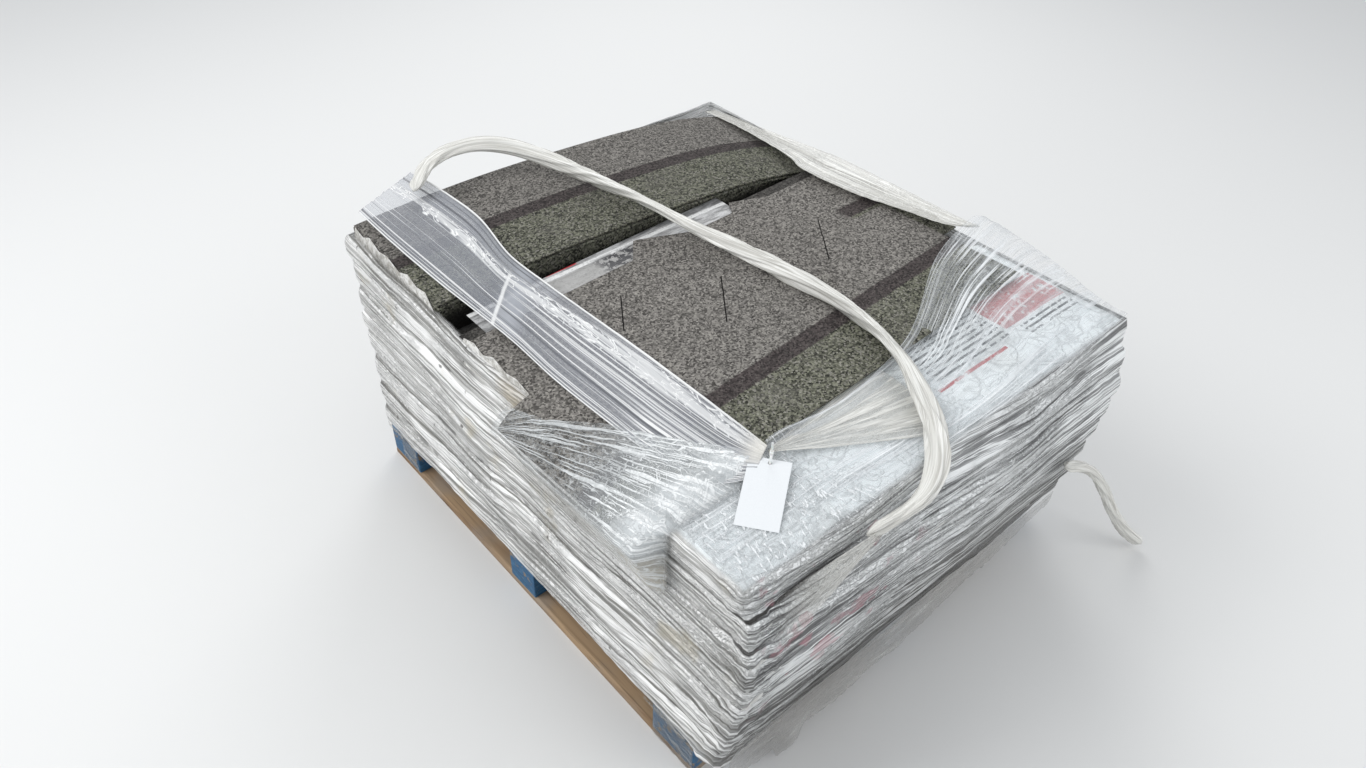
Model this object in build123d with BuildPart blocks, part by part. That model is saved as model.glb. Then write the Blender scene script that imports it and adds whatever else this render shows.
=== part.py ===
from build123d import *
import math
import os

# Pallet load of wrapped asphalt shingle bundles, some of them opened, in millimetres.
# X runs along the bundles, Y across them, Z up. The origin is the middle of the
# underside of the pallet, on its middle base board.

os.makedirs("parts", exist_ok=True)

# Pallet, a four-way block pallet on a frame of base boards
pallet_length = 1016.0
pallet_width = 1067.0
base_board_thickness = 16.0
base_side_board_width = 100.0
base_board_chamfer = 5.0
block_height = 89.0
block_length = 100.0
corner_block_width = 114.0
middle_block_width = 86.0
block_edge_radius = 2.0
stringer_board_thickness = 17.0
stringer_board_width = 86.0
deck_board_thickness = 20.0
lead_board_width = 140.0
deck_board_width = 95.0
inner_deck_board_count = 5

# Wrapped bundles, three side by side in each of eight courses
bundle_length = 996.0
bundle_width = 350.0
bundle_height = 58.0
bundle_side_bulge = 13.0
bundle_end_bulge = 11.0
bundle_corner_radius = 16.0

# No bundle lies quite straight: each turns by up to this many degrees
course_turn_limit = 0.35
course_turn_step = 2.3
place_turn_step = 1.9

# Where each course lies, from the bottom up: left end, near edge, far edge
course_places = [
    (-530.0, -606.0, 488.0),
    (-524.0, -620.0, 502.0),
    (-520.0, -626.0, 514.0),
    (-513.0, -634.0, 536.0),
    (-515.0, -640.0, 540.0),
    (-517.0, -643.0, 530.0),
    (-512.0, -632.0, 534.0),
    (-516.0, -616.0, 545.0),
]

# Loose shingles on the opened bundles of the top course
shingle_width = 337.0
shingle_thickness = 3.0
shingle_clearance = 0.25
slit_width = 1.6

# Torn wrapper: a strip between the two opened bundles, and what stands at their ends
wrapper_thickness = 1.0
wrapper_end_gap = 1.6
wrapper_foot_gap = 0.4
wrapper_strip_gap = 3.0
wrapper_strip_turn_room = 12.5
wrapper_strip_ends = (-470.0, 160.0)

# Stretch film
film_thickness = 1.2
film_clearance = 0.5
film_rest = 0.3
sleeve_rim_drop = 4.0
hood_side_gap = 14.0
band_width = 165.0
band_left = -470.0
rope_diameter = 28.0
tail_diameter = 22.0
rope_sides = 10
rope_radius_limit = 5000.0

# Lot tag and its cable tie
tag_length = 133.0
tag_width = 67.0
tag_thickness = 0.6
tag_hole_radius = 3.5
tag_hole_inset = 7.7
tag_turn = 36.3
tag_centre = (-366.0, -500.0)
tag_tilt = 5.6
tie_width = 3.6
tie_thickness = 1.4
tie_slack = 0.6
tie_loop_radius = 11.0
tie_head_size = 6.0
tie_stub_length = 22.0

# Levels that follow from the sizes above
block_bottom = base_board_thickness
stringer_bottom = block_bottom + block_height
deck_bottom = stringer_bottom + stringer_board_thickness
deck_top = deck_bottom + deck_board_thickness
course_count = len(course_places)
top_course_bottom = deck_top + (course_count - 1) * bundle_height
load_top = deck_top + course_count * bundle_height


def finish(part, name):
    """Labels a finished piece and writes it to its own file."""
    part.label = name
    export_step(part, f"parts/{name}.step")
    print(name, "solids", len(part.solids()), "volume", round(part.volume))


# Base boards: two long ones under the sides and three between them
side_board_x = (pallet_length - base_side_board_width) / 2
for side, sign in (("left", -1), ("right", 1)):
    with BuildPart() as base_board:
        with Locations((sign * side_board_x, 0, 0)):
            Box(
                base_side_board_width,
                pallet_width,
                base_board_thickness,
                align=(Align.CENTER, Align.CENTER, Align.MIN),
            )
        long_edges = base_board.edges().filter_by(Axis.Y).group_by(Axis.Z)[-1]
        chamfer(long_edges, base_board_chamfer)
    finish(base_board.part, f"base_board_{side}")

cross_board_length = pallet_length - 2 * base_side_board_width
base_cross_board_width = corner_block_width
near_row_y = -(pallet_width - base_cross_board_width) / 2
for row, board_y in (("near", near_row_y), ("middle", 0.0), ("far", -near_row_y)):
    with BuildPart() as base_board:
        with Locations((0, board_y, 0)):
            Box(
                cross_board_length,
                base_cross_board_width,
                base_board_thickness,
                align=(Align.CENTER, Align.CENTER, Align.MIN),
            )
        long_edges = base_board.edges().filter_by(Axis.X).group_by(Axis.Z)[-1]
        chamfer(long_edges, base_board_chamfer)
    finish(base_board.part, f"base_board_{row}")

# Blocks: three rows of three, flush with the outside of the pallet
block_rows = (
    ("near", -(pallet_width - corner_block_width) / 2, corner_block_width),
    ("middle", 0.0, middle_block_width),
    ("far", (pallet_width - corner_block_width) / 2, corner_block_width),
)
block_x = (pallet_length - block_length) / 2
for row, row_y, row_width in block_rows:
    for column, column_x in (("left", -block_x), ("centre", 0.0), ("right", block_x)):
        with BuildPart() as block:
            with Locations((column_x, row_y, block_bottom)):
                Box(
                    block_length,
                    row_width,
                    block_height,
                    align=(Align.CENTER, Align.CENTER, Align.MIN),
                )
            fillet(block.edges().filter_by(Axis.Z), block_edge_radius)
        finish(block.part, f"block_{row}_{column}")

# Stringer boards: one over each row of blocks, along the bundles
stringer_y = (pallet_width - stringer_board_width) / 2
for row, board_y in (("near", -stringer_y), ("middle", 0.0), ("far", stringer_y)):
    with BuildPart() as stringer_board:
        with Locations((0, board_y, stringer_bottom)):
            Box(
                pallet_length,
                stringer_board_width,
                stringer_board_thickness,
                align=(Align.CENTER, Align.CENTER, Align.MIN),
            )
    finish(stringer_board.part, f"stringer_board_{row}")

# Deck boards: a wide lead board at each end and narrower ones spaced evenly between
lead_board_x = (pallet_length - lead_board_width) / 2
inner_span = pallet_length - 2 * lead_board_width
deck_gap = (inner_span - inner_deck_board_count * deck_board_width) / (inner_deck_board_count + 1)
deck_boards = [(-lead_board_x, lead_board_width)]
for index in range(inner_deck_board_count):
    board_x = -inner_span / 2 + deck_gap + deck_board_width / 2
    board_x += index * (deck_board_width + deck_gap)
    deck_boards.append((board_x, deck_board_width))
deck_boards.append((lead_board_x, lead_board_width))
for number, (board_x, board_width) in enumerate(deck_boards, start=1):
    with BuildPart() as deck_board:
        with Locations((board_x, 0, deck_bottom)):
            Box(
                board_width,
                pallet_width,
                deck_board_thickness,
                align=(Align.CENTER, Align.CENTER, Align.MIN),
            )
    finish(deck_board.part, f"deck_board_{number}")


def bundle_section(span, bulge):
    """Draws a section of a bundle: flat top and bottom, and rounded sides."""
    flat = span / 2 - bulge
    half_height = bundle_height / 2
    with BuildSketch(mode=Mode.PRIVATE) as section:
        with BuildLine():
            Line((-flat, -half_height), (flat, -half_height))
            ThreePointArc((flat, -half_height), (flat + bulge, 0), (flat, half_height))
            Line((flat, half_height), (-flat, half_height))
            ThreePointArc((-flat, half_height), (-flat - bulge, 0), (-flat, -half_height))
        make_face()
    return section.sketch


with BuildPart() as wrapped_bundle:
    with BuildSketch(Plane.YZ):
        add(bundle_section(bundle_width, bundle_side_bulge))
    extrude(amount=bundle_length / 2, both=True)
    with BuildSketch(Plane.XZ):
        add(bundle_section(bundle_length, bundle_end_bulge))
    extrude(amount=bundle_width / 2, both=True, mode=Mode.INTERSECT)
    with BuildSketch(Plane.XY.offset(-bundle_height / 2)):
        RectangleRounded(bundle_length, bundle_width, bundle_corner_radius)
    extrude(amount=bundle_height, mode=Mode.INTERSECT)


def course_rows(near_edge, far_edge):
    """Gives the middle of the near, middle and far bundle of a course."""
    near = near_edge + bundle_width / 2
    far = far_edge - bundle_width / 2
    return near, (near + far) / 2, far


# The seven full courses
for index in range(course_count - 1):
    left_end, near_edge, far_edge = course_places[index]
    course_middle = deck_top + (index + 0.5) * bundle_height
    bundle_x = left_end + bundle_length / 2
    with BuildPart() as course:
        for place, row_y in enumerate(course_rows(near_edge, far_edge)):
            swing = math.sin(course_turn_step * index + place_turn_step * place)
            turn = course_turn_limit * swing
            with Locations(Location((bundle_x, row_y, course_middle), (0, 0, turn))):
                add(wrapped_bundle.part)
    finish(course.part, f"course_{index + 1}")

# The top course: one bundle still wrapped, and two opened ones
top_left, top_near, top_far = course_places[-1]
near_row, middle_row, far_row = course_rows(top_near, top_far)
top_x = top_left + bundle_length / 2
with BuildPart() as course:
    with Locations((top_x, near_row, load_top - bundle_height / 2)):
        add(wrapped_bundle.part)
finish(course.part, f"course_{course_count}")

# Each opened bundle lies in a soft curve: points are X and height over the course below
middle_curve = [(-506.0, 58.6), (-250.0, 62.0), (150.0, 62.0), (470.0, 59.0)]
far_curve = [(-500.0, 66.0), (-250.0, 82.0), (60.0, 78.0), (300.0, 60.0), (468.0, 24.0)]
middle_turn = 1.9
far_turn = -2.2

# The uppermost front shingle has slid over the left end of the load and droops there
slid_curve = [
    (-572.0, 24.0),
    (-556.0, 38.0),
    (-534.0, 50.0),
    (-510.0, 57.8),
    (-490.0, 59.4),
    (-440.0, 60.3),
    (-250.0, 62.0),
    (150.0, 62.0),
    (420.0, 60.0),
]
far_stack_row = far_row - 15.0
middle_near = middle_row - shingle_width / 2
far_near = far_stack_row - shingle_width / 2


def curved_layer(curve, lift, thickness, near_edge, width, turn):
    """Makes a layer of even height that follows a curve and lies at one lift over it."""
    low = [(x, top_course_bottom + z + lift) for x, z in curve]
    high = [(x, z + thickness) for x, z in low]
    with BuildPart(mode=Mode.PRIVATE) as layer:
        with BuildSketch(Plane.XZ.offset(width / 2)):
            with BuildLine():
                Spline(*low)
                Line(low[-1], high[-1])
                Spline(*high)
                Line(high[0], low[0])
            make_face()
        extrude(amount=-width)
    return layer.part.moved(Location((0, near_edge + width / 2, 0), (0, 0, turn)))


def opened_stack(curve, row_y, turn):
    """Makes the stack left in an opened bundle, flat below and curved on top."""
    top = [(x, top_course_bottom + z) for x, z in curve]
    with BuildPart(mode=Mode.PRIVATE) as stack:
        with BuildSketch(Plane.XZ.offset(shingle_width / 2)):
            with BuildLine():
                Spline(*top)
                Line(top[-1], (top[-1][0], top_course_bottom))
                Line((top[-1][0], top_course_bottom), (top[0][0], top_course_bottom))
                Line((top[0][0], top_course_bottom), top[0])
            make_face()
        extrude(amount=-shingle_width)
    return stack.part.moved(Location((0, row_y, 0), (0, 0, turn)))


with BuildPart() as middle_stack:
    add(opened_stack(middle_curve, middle_row, middle_turn))
finish(middle_stack.part, "opened_bundle_middle")
with BuildPart() as far_stack:
    add(opened_stack(far_curve, far_stack_row, far_turn))
finish(far_stack.part, "opened_bundle_far")

# Loose shingles: name, curve, layer number, near edge, turn
loose_shingles = [
    ("loose_shingle_middle_1", middle_curve, 0, middle_near - 28.0, middle_turn),
    ("loose_shingle_middle_2", middle_curve, 1, middle_near + 20.0, middle_turn),
    ("loose_shingle_middle_3", slid_curve, 2, middle_near - 216.0, middle_turn),
    ("loose_shingle_far_1", far_curve, 0, far_near - 12.5, far_turn),
    ("loose_shingle_far_2", far_curve, 1, far_near - 4.5, far_turn),
    ("loose_shingle_far_3", far_curve, 2, far_near - 9.5, far_turn),
]

# The second shingle ends in two tapered laps: X, and how far each corner lies inside
# its far edge
tapered_lap = [
    (-506.0, 84.0),
    (-319.0, 76.0),
    (-167.0, 98.0),
    (-88.0, 0.0),
    (91.0, 77.0),
    (128.0, 67.0),
    (162.0, 12.0),
    (366.0, 88.0),
    (470.0, 100.0),
]

# Slits cut through the upper two shingles: both ends, X and distance over the middle
# row
lap_slits = [
    ((-223.0, 57.5), (-284.0, -28.5)),
    ((-36.0, -13.5), (-128.0, -128.5)),
    ((264.0, 14.5), (166.0, -106.5)),
]
layer_pitch = shingle_thickness + shingle_clearance
stack_reach = 2 * bundle_height
for name, curve, level, near_edge, turn in loose_shingles:
    lift = shingle_clearance + level * layer_pitch
    with BuildPart() as shingle:
        add(curved_layer(curve, lift, shingle_thickness, near_edge, shingle_width, turn))
        if name == "loose_shingle_middle_2":
            far_edge = near_edge + shingle_width
            lap_outline = [(x, far_edge - inset) for x, inset in tapered_lap]
            beyond = far_edge + shingle_width
            lap_outline += [(bundle_length, beyond), (-bundle_length, beyond)]
            with BuildSketch(Plane.XY.offset(top_course_bottom)):
                Polygon(*lap_outline, align=None)
            extrude(amount=stack_reach, mode=Mode.SUBTRACT)
        if name in ("loose_shingle_middle_2", "loose_shingle_middle_3"):
            with BuildSketch(Plane.XY.offset(top_course_bottom)):
                for (start_x, start_y), (end_x, end_y) in lap_slits:
                    start = (start_x, middle_row + start_y)
                    end = (end_x, middle_row + end_y)
                    slit_middle = ((start[0] + end[0]) / 2, (start[1] + end[1]) / 2)
                    slit_length = math.dist(start, end)
                    slant = math.degrees(math.atan2(end[1] - start[1], end[0] - start[0]))
                    with Locations(slit_middle):
                        SlotOverall(slit_length, slit_width, rotation=slant)
            extrude(amount=stack_reach, mode=Mode.SUBTRACT)
    finish(shingle.part, name)

# A strip of torn wrapper beside the lowest loose shingle, over the gap between stacks
lowest_near = loose_shingles[0][3]
strip_near_edge = lowest_near + shingle_width + wrapper_strip_gap
wrapper_strip_width = far_near - wrapper_strip_turn_room - strip_near_edge
strip_left, strip_right = wrapper_strip_ends
with BuildPart() as wrapper_strip:
    add(
        curved_layer(
            middle_curve,
            shingle_clearance,
            wrapper_thickness,
            strip_near_edge,
            wrapper_strip_width,
            middle_turn,
        )
    )
    with Locations(((strip_left + strip_right) / 2, 0, load_top)):
        Box(strip_right - strip_left, pallet_width, bundle_height, mode=Mode.INTERSECT)
finish(wrapper_strip.part, "wrapper_strip")

# What the two opened bundles keep of their wrappers at the left end, with torn tops:
# Y from the middle of the stack, and height over the course below
torn_top_middle = [
    (160.0, 44.0),
    (150.0, 66.0),
    (118.0, 74.0),
    (92.0, 63.0),
    (60.0, 78.0),
    (24.0, 66.0),
    (-6.0, 72.0),
    (-46.0, 60.0),
    (-96.0, 61.0),
    (-150.0, 52.0),
    (-165.0, 40.0),
]
torn_top_far = [
    (166.0, 48.0),
    (152.0, 74.0),
    (120.0, 68.0),
    (86.0, 84.0),
    (50.0, 72.0),
    (14.0, 80.0),
    (-34.0, 70.0),
    (-72.0, 86.0),
    (-104.0, 76.0),
    (-140.0, 84.0),
    (-166.0, 56.0),
]
for name, stack_curve, row_y, turn, torn_top in (
    ("torn_wrapper_middle", middle_curve, middle_row, middle_turn, torn_top_middle),
    ("torn_wrapper_far", far_curve, far_stack_row, far_turn, torn_top_far),
):
    wall_x = stack_curve[0][0] - wrapper_end_gap - wrapper_thickness
    torn_line = [(y, top_course_bottom + height) for y, height in torn_top]
    foot = top_course_bottom + wrapper_foot_gap
    with BuildPart(mode=Mode.PRIVATE) as upright:
        with BuildSketch(Plane.YZ.offset(wall_x)):
            Polygon(*torn_line, (torn_line[-1][0], foot), (torn_line[0][0], foot), align=None)
        extrude(amount=wrapper_thickness)
    with BuildPart() as torn_wrapper:
        add(upright.part.moved(Location((0, row_y, 0), (0, 0, turn))))
    finish(torn_wrapper.part, name)


def course_outline(index):
    """Gives the low X, high X, low Y and high Y that a course reaches."""
    left_end, near_edge, far_edge = course_places[index]
    lean = math.radians(course_turn_limit)
    reach_y = bundle_length / 2 * math.sin(lean)
    reach_x = bundle_width / 2 * math.sin(lean)
    right_end = left_end + bundle_length
    return (
        left_end - reach_x,
        right_end + reach_x,
        near_edge - reach_y,
        far_edge + reach_y,
    )


def wider(first, second):
    """Gives the outline that holds two outlines."""
    return (
        min(first[0], second[0]),
        max(first[1], second[1]),
        min(first[2], second[2]),
        max(first[3], second[3]),
    )


# The film sleeve follows the courses: one outline at the middle of each, and one
# at each joint that holds the course below and the course above
sleeve_levels = [(deck_top + film_rest, course_outline(0))]
for index in range(course_count):
    middle = deck_top + (index + 0.5) * bundle_height
    sleeve_levels.append((middle, course_outline(index)))
    if index + 1 < course_count:
        joint = wider(course_outline(index), course_outline(index + 1))
        sleeve_levels.append((middle + bundle_height / 2, joint))
sleeve_levels.append((load_top - sleeve_rim_drop, course_outline(course_count - 1)))


def sleeve_section(level, outline, margin):
    """Draws one rounded outline of the sleeve, a margin outside the bundles."""
    low_x, high_x, low_y, high_y = outline
    plane = Plane.XY.offset(level)
    with BuildSketch(plane, mode=Mode.PRIVATE) as section:
        with Locations(((low_x + high_x) / 2, (low_y + high_y) / 2)):
            RectangleRounded(
                high_x - low_x + 2 * margin,
                high_y - low_y + 2 * margin,
                bundle_corner_radius + margin - film_clearance,
            )
    return section.sketch


with BuildPart() as film_sleeve:
    loft(
        [sleeve_section(z, outline, film_clearance + film_thickness) for z, outline in sleeve_levels],
        ruled=True,
    )
    loft(
        [sleeve_section(z, outline, film_clearance) for z, outline in sleeve_levels],
        ruled=True,
        mode=Mode.SUBTRACT,
    )
finish(film_sleeve.part, "film_sleeve")


def film_section(plane, line):
    """Draws a section of a film sheet: a line of points, one film thickness high."""
    raised = [(across, height + film_thickness) for across, height in line]
    with BuildSketch(plane, mode=Mode.PRIVATE) as section:
        with BuildLine():
            Polyline(*line, *reversed(raised), close=True)
        make_face()
    return section.sketch


# The hood is the film folded over the wrapped bundle and pulled up into a tent at its
# far right. Each station is an X, then the Y and height over the load of the foot of
# the slope, its top and the free edge
hood_level = load_top + film_rest
hood_near = top_near + hood_side_gap
hood_left = top_left + hood_side_gap + film_thickness
hood_right = top_left + bundle_length - hood_side_gap
hood_stations = [
    (hood_left, (-462.0, 0.4), (-450.0, 1.2), (-438.0, 1.4)),
    (-300.0, (-462.0, 0.4), (-450.0, 1.2), (-438.0, 1.4)),
    (-280.0, (-454.0, 0.0), (-442.0, 15.8), (-434.0, 15.8)),
    (-262.0, (-448.0, 0.0), (-434.0, 15.8), (-418.0, 15.8)),
    (79.0, (-440.0, 0.0), (-424.0, 15.8), (-395.0, 15.8)),
    (144.0, (-440.0, 0.0), (-424.0, 15.2), (-353.0, 17.0)),
    (310.0, (-440.0, 0.0), (-424.0, 16.0), (-280.0, 26.0)),
    (440.0, (-440.0, 0.0), (-424.0, 16.0), (-250.0, 34.0)),
    (hood_right, (-440.0, 0.0), (-424.0, 16.0), (-262.0, 34.0)),
]
with BuildPart() as film_hood:
    hood_sections = []
    for station_x, *slope in hood_stations:
        line = [(hood_near, hood_level)] + [(y, hood_level + rise) for y, rise in slope]
        hood_sections.append(film_section(Plane.YZ.offset(station_x), line))
    loft(hood_sections, ruled=True)
finish(film_hood.part, "film_hood")

# The band of clear film over the left ends of the bundles: points are Y and height
# over the load
band_curve = [
    (-425.0, 14.8),
    (-150.0, 15.8),
    (110.0, 22.0),
    (205.0, 40.0),
    (400.0, 56.0),
    (540.0, 66.0),
]
band_line = [(y, load_top + rise) for y, rise in band_curve]
with BuildPart() as film_band:
    with BuildSketch(Plane.YZ.offset(band_left)):
        with BuildLine():
            raised_curve = [(y, z + film_thickness) for y, z in band_line]
            Spline(*band_line)
            Line(band_line[-1], raised_curve[-1])
            Spline(*raised_curve)
            Line(raised_curve[0], band_line[0])
        make_face()
    extrude(amount=band_width)
finish(film_band.part, "film_band")

# The crumpled film over the slid shingle, which falls from its end back to the load:
# points are X and height over the course below, and the film is turned with the shingle
slid_near = loose_shingles[2][3]
corner_sheet_line = [
    (-441.0, 70.5),
    (-492.0, 69.6),
    (-512.0, 68.6),
    (-536.0, 62.4),
    (-558.0, 50.6),
    (-576.0, 35.0),
    (-580.0, 24.0),
    (-560.0, -28.0),
    (-532.0, -108.0),
]
corner_sheet_shift = (-1.0, 0.7)
corner_sheet_near = 7.0
corner_sheet_width = 350.0
shift_x, shift_z = corner_sheet_shift
with BuildPart(mode=Mode.PRIVATE) as draped_film:
    inner_line = [(x, top_course_bottom + z) for x, z in corner_sheet_line]
    outer_line = [(x + shift_x, z + shift_z) for x, z in reversed(inner_line)]
    with BuildSketch(Plane.XZ.offset(shingle_width / 2 + corner_sheet_near)):
        with BuildLine():
            Polyline(*inner_line, *outer_line, close=True)
        make_face()
    extrude(amount=-corner_sheet_width)
with BuildPart() as film_corner_sheet:
    slid_row = slid_near + shingle_width / 2
    add(draped_film.part.moved(Location((0, slid_row, 0), (0, 0, middle_turn))))
finish(film_corner_sheet.part, "film_corner_sheet")

# The band of film gathered along the right edge of the top. Each station is a Y, then
# the X and height over the load of its inner and its outer edge
edge_band_stations = [
    (532.0, (446.0, -16.0), (480.4, -24.0)),
    (431.0, (440.0, -10.0), (480.9, -16.0)),
    (300.0, (424.0, 0.0), (480.9, -3.0)),
    (190.0, (392.0, 12.0), (497.0, 3.0)),
    (128.0, (366.0, 17.0), (497.0, 9.0)),
    (0.0, (376.0, 18.0), (494.0, 11.0)),
    (-100.0, (398.0, 19.0), (490.0, 15.0)),
    (-218.0, (412.0, 24.0), (484.0, 21.0)),
    (-262.0, (440.0, 29.0), (476.0, 28.0)),
]
with BuildPart() as film_edge_band:
    edge_sections = []
    for station_y, *edges in edge_band_stations:
        line = [(x, load_top + rise) for x, rise in edges]
        edge_sections.append(film_section(Plane.XZ.offset(-station_y), line))
    loft(edge_sections, ruled=True)
finish(film_edge_band.part, "film_edge_band")

# The skirt is the film that hangs below the load on the near side, with a ragged hem:
# points are X and height
skirt_hem = [
    (455.0, 118.0),
    (286.0, 82.0),
    (104.0, 66.0),
    (-30.0, 38.0),
    (-207.0, 42.0),
    (-300.0, 46.0),
    (-318.0, 6.0),
    (-372.0, 8.0),
    (-385.0, 50.0),
    (-500.0, 62.0),
]
sleeve_foot = course_outline(0)
sleeve_skin = film_clearance + film_thickness
skirt_top = deck_top
with BuildPart() as film_skirt:
    with BuildSketch(Plane.XZ.offset(-(sleeve_foot[2] - sleeve_skin))):
        hem_right, hem_left = skirt_hem[0][0], skirt_hem[-1][0]
        Polygon((hem_left, skirt_top), (hem_right, skirt_top), *skirt_hem, align=None)
    extrude(amount=-film_thickness)
finish(film_skirt.part, "film_skirt")

# Two flaps of film hang from the sleeve over the left corner blocks: each from one Y
# to the other, leaning in to the block and down to its hem
flap_lean_drop = 42.0
flap_inner_x = -pallet_length / 2 - film_clearance - film_thickness
flap_outer_x = min(sleeve_foot[0] - sleeve_skin, flap_inner_x - film_thickness)
for name, near_y, far_y, hem in (
    ("film_flap_near", -532.0, -424.0, 4.0),
    ("film_flap_far", 420.0, 484.0, 20.0),
):
    flap_line = [
        (flap_outer_x, skirt_top),
        (flap_inner_x, skirt_top - flap_lean_drop),
        (flap_inner_x, hem),
    ]
    flap_back = [(x + film_thickness, z) for x, z in reversed(flap_line)]
    with BuildPart() as film_flap:
        with BuildSketch(Plane.XZ.offset(-near_y)):
            with BuildLine():
                Polyline(*flap_line, *flap_back, close=True)
            make_face()
        extrude(amount=-(far_y - near_y))
    finish(film_flap.part, name)


def corner_radii(points):
    """Gives each inner point of a route the largest radius its two runs allow."""
    route = [Vector(*point) for point in points]
    radii = []
    for before, corner, after in zip(route, route[1:], route[2:]):
        turn = (corner - before).get_angle(after - corner)
        shorter = min((corner - before).length, (after - corner).length)
        radius = 0.45 * shorter / math.tan(math.radians(turn) / 2)
        radii.append(min(radius, rope_radius_limit))
    return radii


def film_tube(points, diameter, name):
    """Makes a twisted film rope as a tube along straight runs and tangent arcs."""
    radii = corner_radii(points)
    print(name, "radii", [round(radius) for radius in radii])
    with BuildPart() as tube:
        with BuildLine() as route:
            FilletPolyline(*points, radius=radii)
        with BuildSketch(Plane(origin=route.line @ 0, z_dir=route.line % 0)) as section:
            RegularPolygon(diameter / 2, rope_sides)
        sweep()
    route_length = sum(edge.length for edge in route.edges())
    share = tube.part.volume / (section.sketch.area * route_length)
    print(name, "length", round(route_length), "share of section times length", round(share, 4))
    finish(tube.part, name)


# The loose twisted rope of film that crosses the load, from its far left corner
film_tube(
    [
        (-384, 470, 690),
        (-340, 518, 703),
        (-268, 540, 712),
        (-178, 528, 708),
        (-108, 462, 690),
        (-54, 322, 668),
        (-26, 192, 667),
        (8, 60, 648),
        (46, -110, 637.6),
        (62, -280, 637.6),
        (28, -436, 637.8),
        (-34, -542, 632),
        (-92, -612, 624),
        (-156, -652, 606),
        (-222, -652, 592),
        (-288, -640, 586),
    ],
    rope_diameter,
    "film_rope_long",
)

# The loose tail of film at the near right corner, which hangs to the ground
film_tube(
    [
        (350, -650, 322),
        (424, -654, 282),
        (484, -668, 228),
        (518, -692, 166),
        (546, -716, 100),
        (574, -746, 48),
        (606, -778, 14),
    ],
    tail_diameter,
    "film_tail",
)

# The lot tag lies on the hood, tilted up to its tie
tag_across = Vector(math.cos(math.radians(tag_turn)), math.sin(math.radians(tag_turn)), 0)
tag_rise = math.sin(math.radians(tag_tilt))
tag_run = math.cos(math.radians(tag_tilt))
tag_rest_level = hood_level + film_thickness + film_rest
tag_plane = Plane(
    origin=(tag_centre[0], tag_centre[1], tag_rest_level + tag_length / 2 * tag_rise),
    x_dir=tag_across * tag_run + Vector(0, 0, tag_rise),
    z_dir=Vector(0, 0, tag_run) - tag_across * tag_rise,
)
tag_hole_x = tag_length / 2 - tag_hole_inset
with BuildPart() as lot_tag:
    with BuildSketch(tag_plane):
        Rectangle(tag_length, tag_width)
        with Locations((tag_hole_x, 0)):
            Circle(tag_hole_radius, mode=Mode.SUBTRACT)
    extrude(amount=tag_thickness)
finish(lot_tag.part, "lot_tag")

# The cable tie stands in the tag's hole: a round band, its head and its stub
tie_reach = tag_hole_x + tie_loop_radius - tie_thickness - tie_slack
tie_centre = tag_plane.origin + tag_plane.x_dir * tie_reach
tie_plane = Plane(
    origin=tie_centre,
    x_dir=tag_plane.x_dir,
    z_dir=-tag_plane.y_dir,
)
with BuildPart() as tag_tie:
    with BuildSketch(tie_plane.offset(-tie_width / 2)):
        Circle(tie_loop_radius + tie_thickness / 2)
        Circle(tie_loop_radius - tie_thickness / 2, mode=Mode.SUBTRACT)
    extrude(amount=tie_width)
    with BuildSketch(tie_plane.offset(-tie_head_size / 2)):
        with Locations((0, tie_loop_radius + tie_head_size / 2 - tie_thickness / 2)):
            Rectangle(tie_head_size, tie_head_size)
    extrude(amount=tie_head_size)
    with BuildSketch(tie_plane.offset(-tie_width / 2)):
        with Locations((0, tie_loop_radius + tie_head_size + tie_stub_length / 2 - tie_thickness)):
            Rectangle(tie_thickness, tie_stub_length)
    extrude(amount=tie_width)
finish(tag_tie.part, "tag_tie")
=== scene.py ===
# %% [markdown]
# # A pallet load of asphalt shingle bundles
# The CAD frame gives every board, bundle and sheet its place. This lesson dresses it:
# paper-wrapped bundles, stone granules, and many kinds of stretch film, which is clear
# where it lies flat and white where it is gathered.

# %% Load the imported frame
import math
from functools import partialmethod

import bmesh
import bpy
from mathutils import Matrix, Vector, noise


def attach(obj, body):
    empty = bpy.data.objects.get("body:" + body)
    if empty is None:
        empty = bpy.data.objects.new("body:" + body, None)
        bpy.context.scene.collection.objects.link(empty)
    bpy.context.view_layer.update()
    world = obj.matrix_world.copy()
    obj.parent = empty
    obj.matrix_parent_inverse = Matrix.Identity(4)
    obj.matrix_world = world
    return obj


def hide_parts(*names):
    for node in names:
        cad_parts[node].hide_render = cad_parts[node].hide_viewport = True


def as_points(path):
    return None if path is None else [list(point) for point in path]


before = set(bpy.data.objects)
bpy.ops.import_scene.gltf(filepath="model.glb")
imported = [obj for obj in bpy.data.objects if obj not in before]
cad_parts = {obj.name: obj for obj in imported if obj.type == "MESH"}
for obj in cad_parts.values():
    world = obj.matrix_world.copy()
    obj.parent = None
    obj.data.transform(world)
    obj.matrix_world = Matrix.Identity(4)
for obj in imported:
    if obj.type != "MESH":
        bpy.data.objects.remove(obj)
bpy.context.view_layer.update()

BODY = "root"
scene = bpy.context.scene

# %% [markdown]
# ## The camera
# The photograph was taken from standing height beside the near left corner of the load.
# Its place and turn were solved from the corners of the bundles. The three columns of
# the matrix are the camera's right, up and backward directions.

# %% Place the camera
camera_place = Vector((-1.1495, -1.1680, 1.7080))
camera_right = Vector((0.75324, -0.65713, 0.02847))
camera_up = Vector((0.41436, 0.50769, 0.75536))
camera_back = Vector((-0.51082, -0.55717, 0.6547))
sensor_width = 36.0
photo_width = 1366
focal_pixels = 1000

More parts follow.
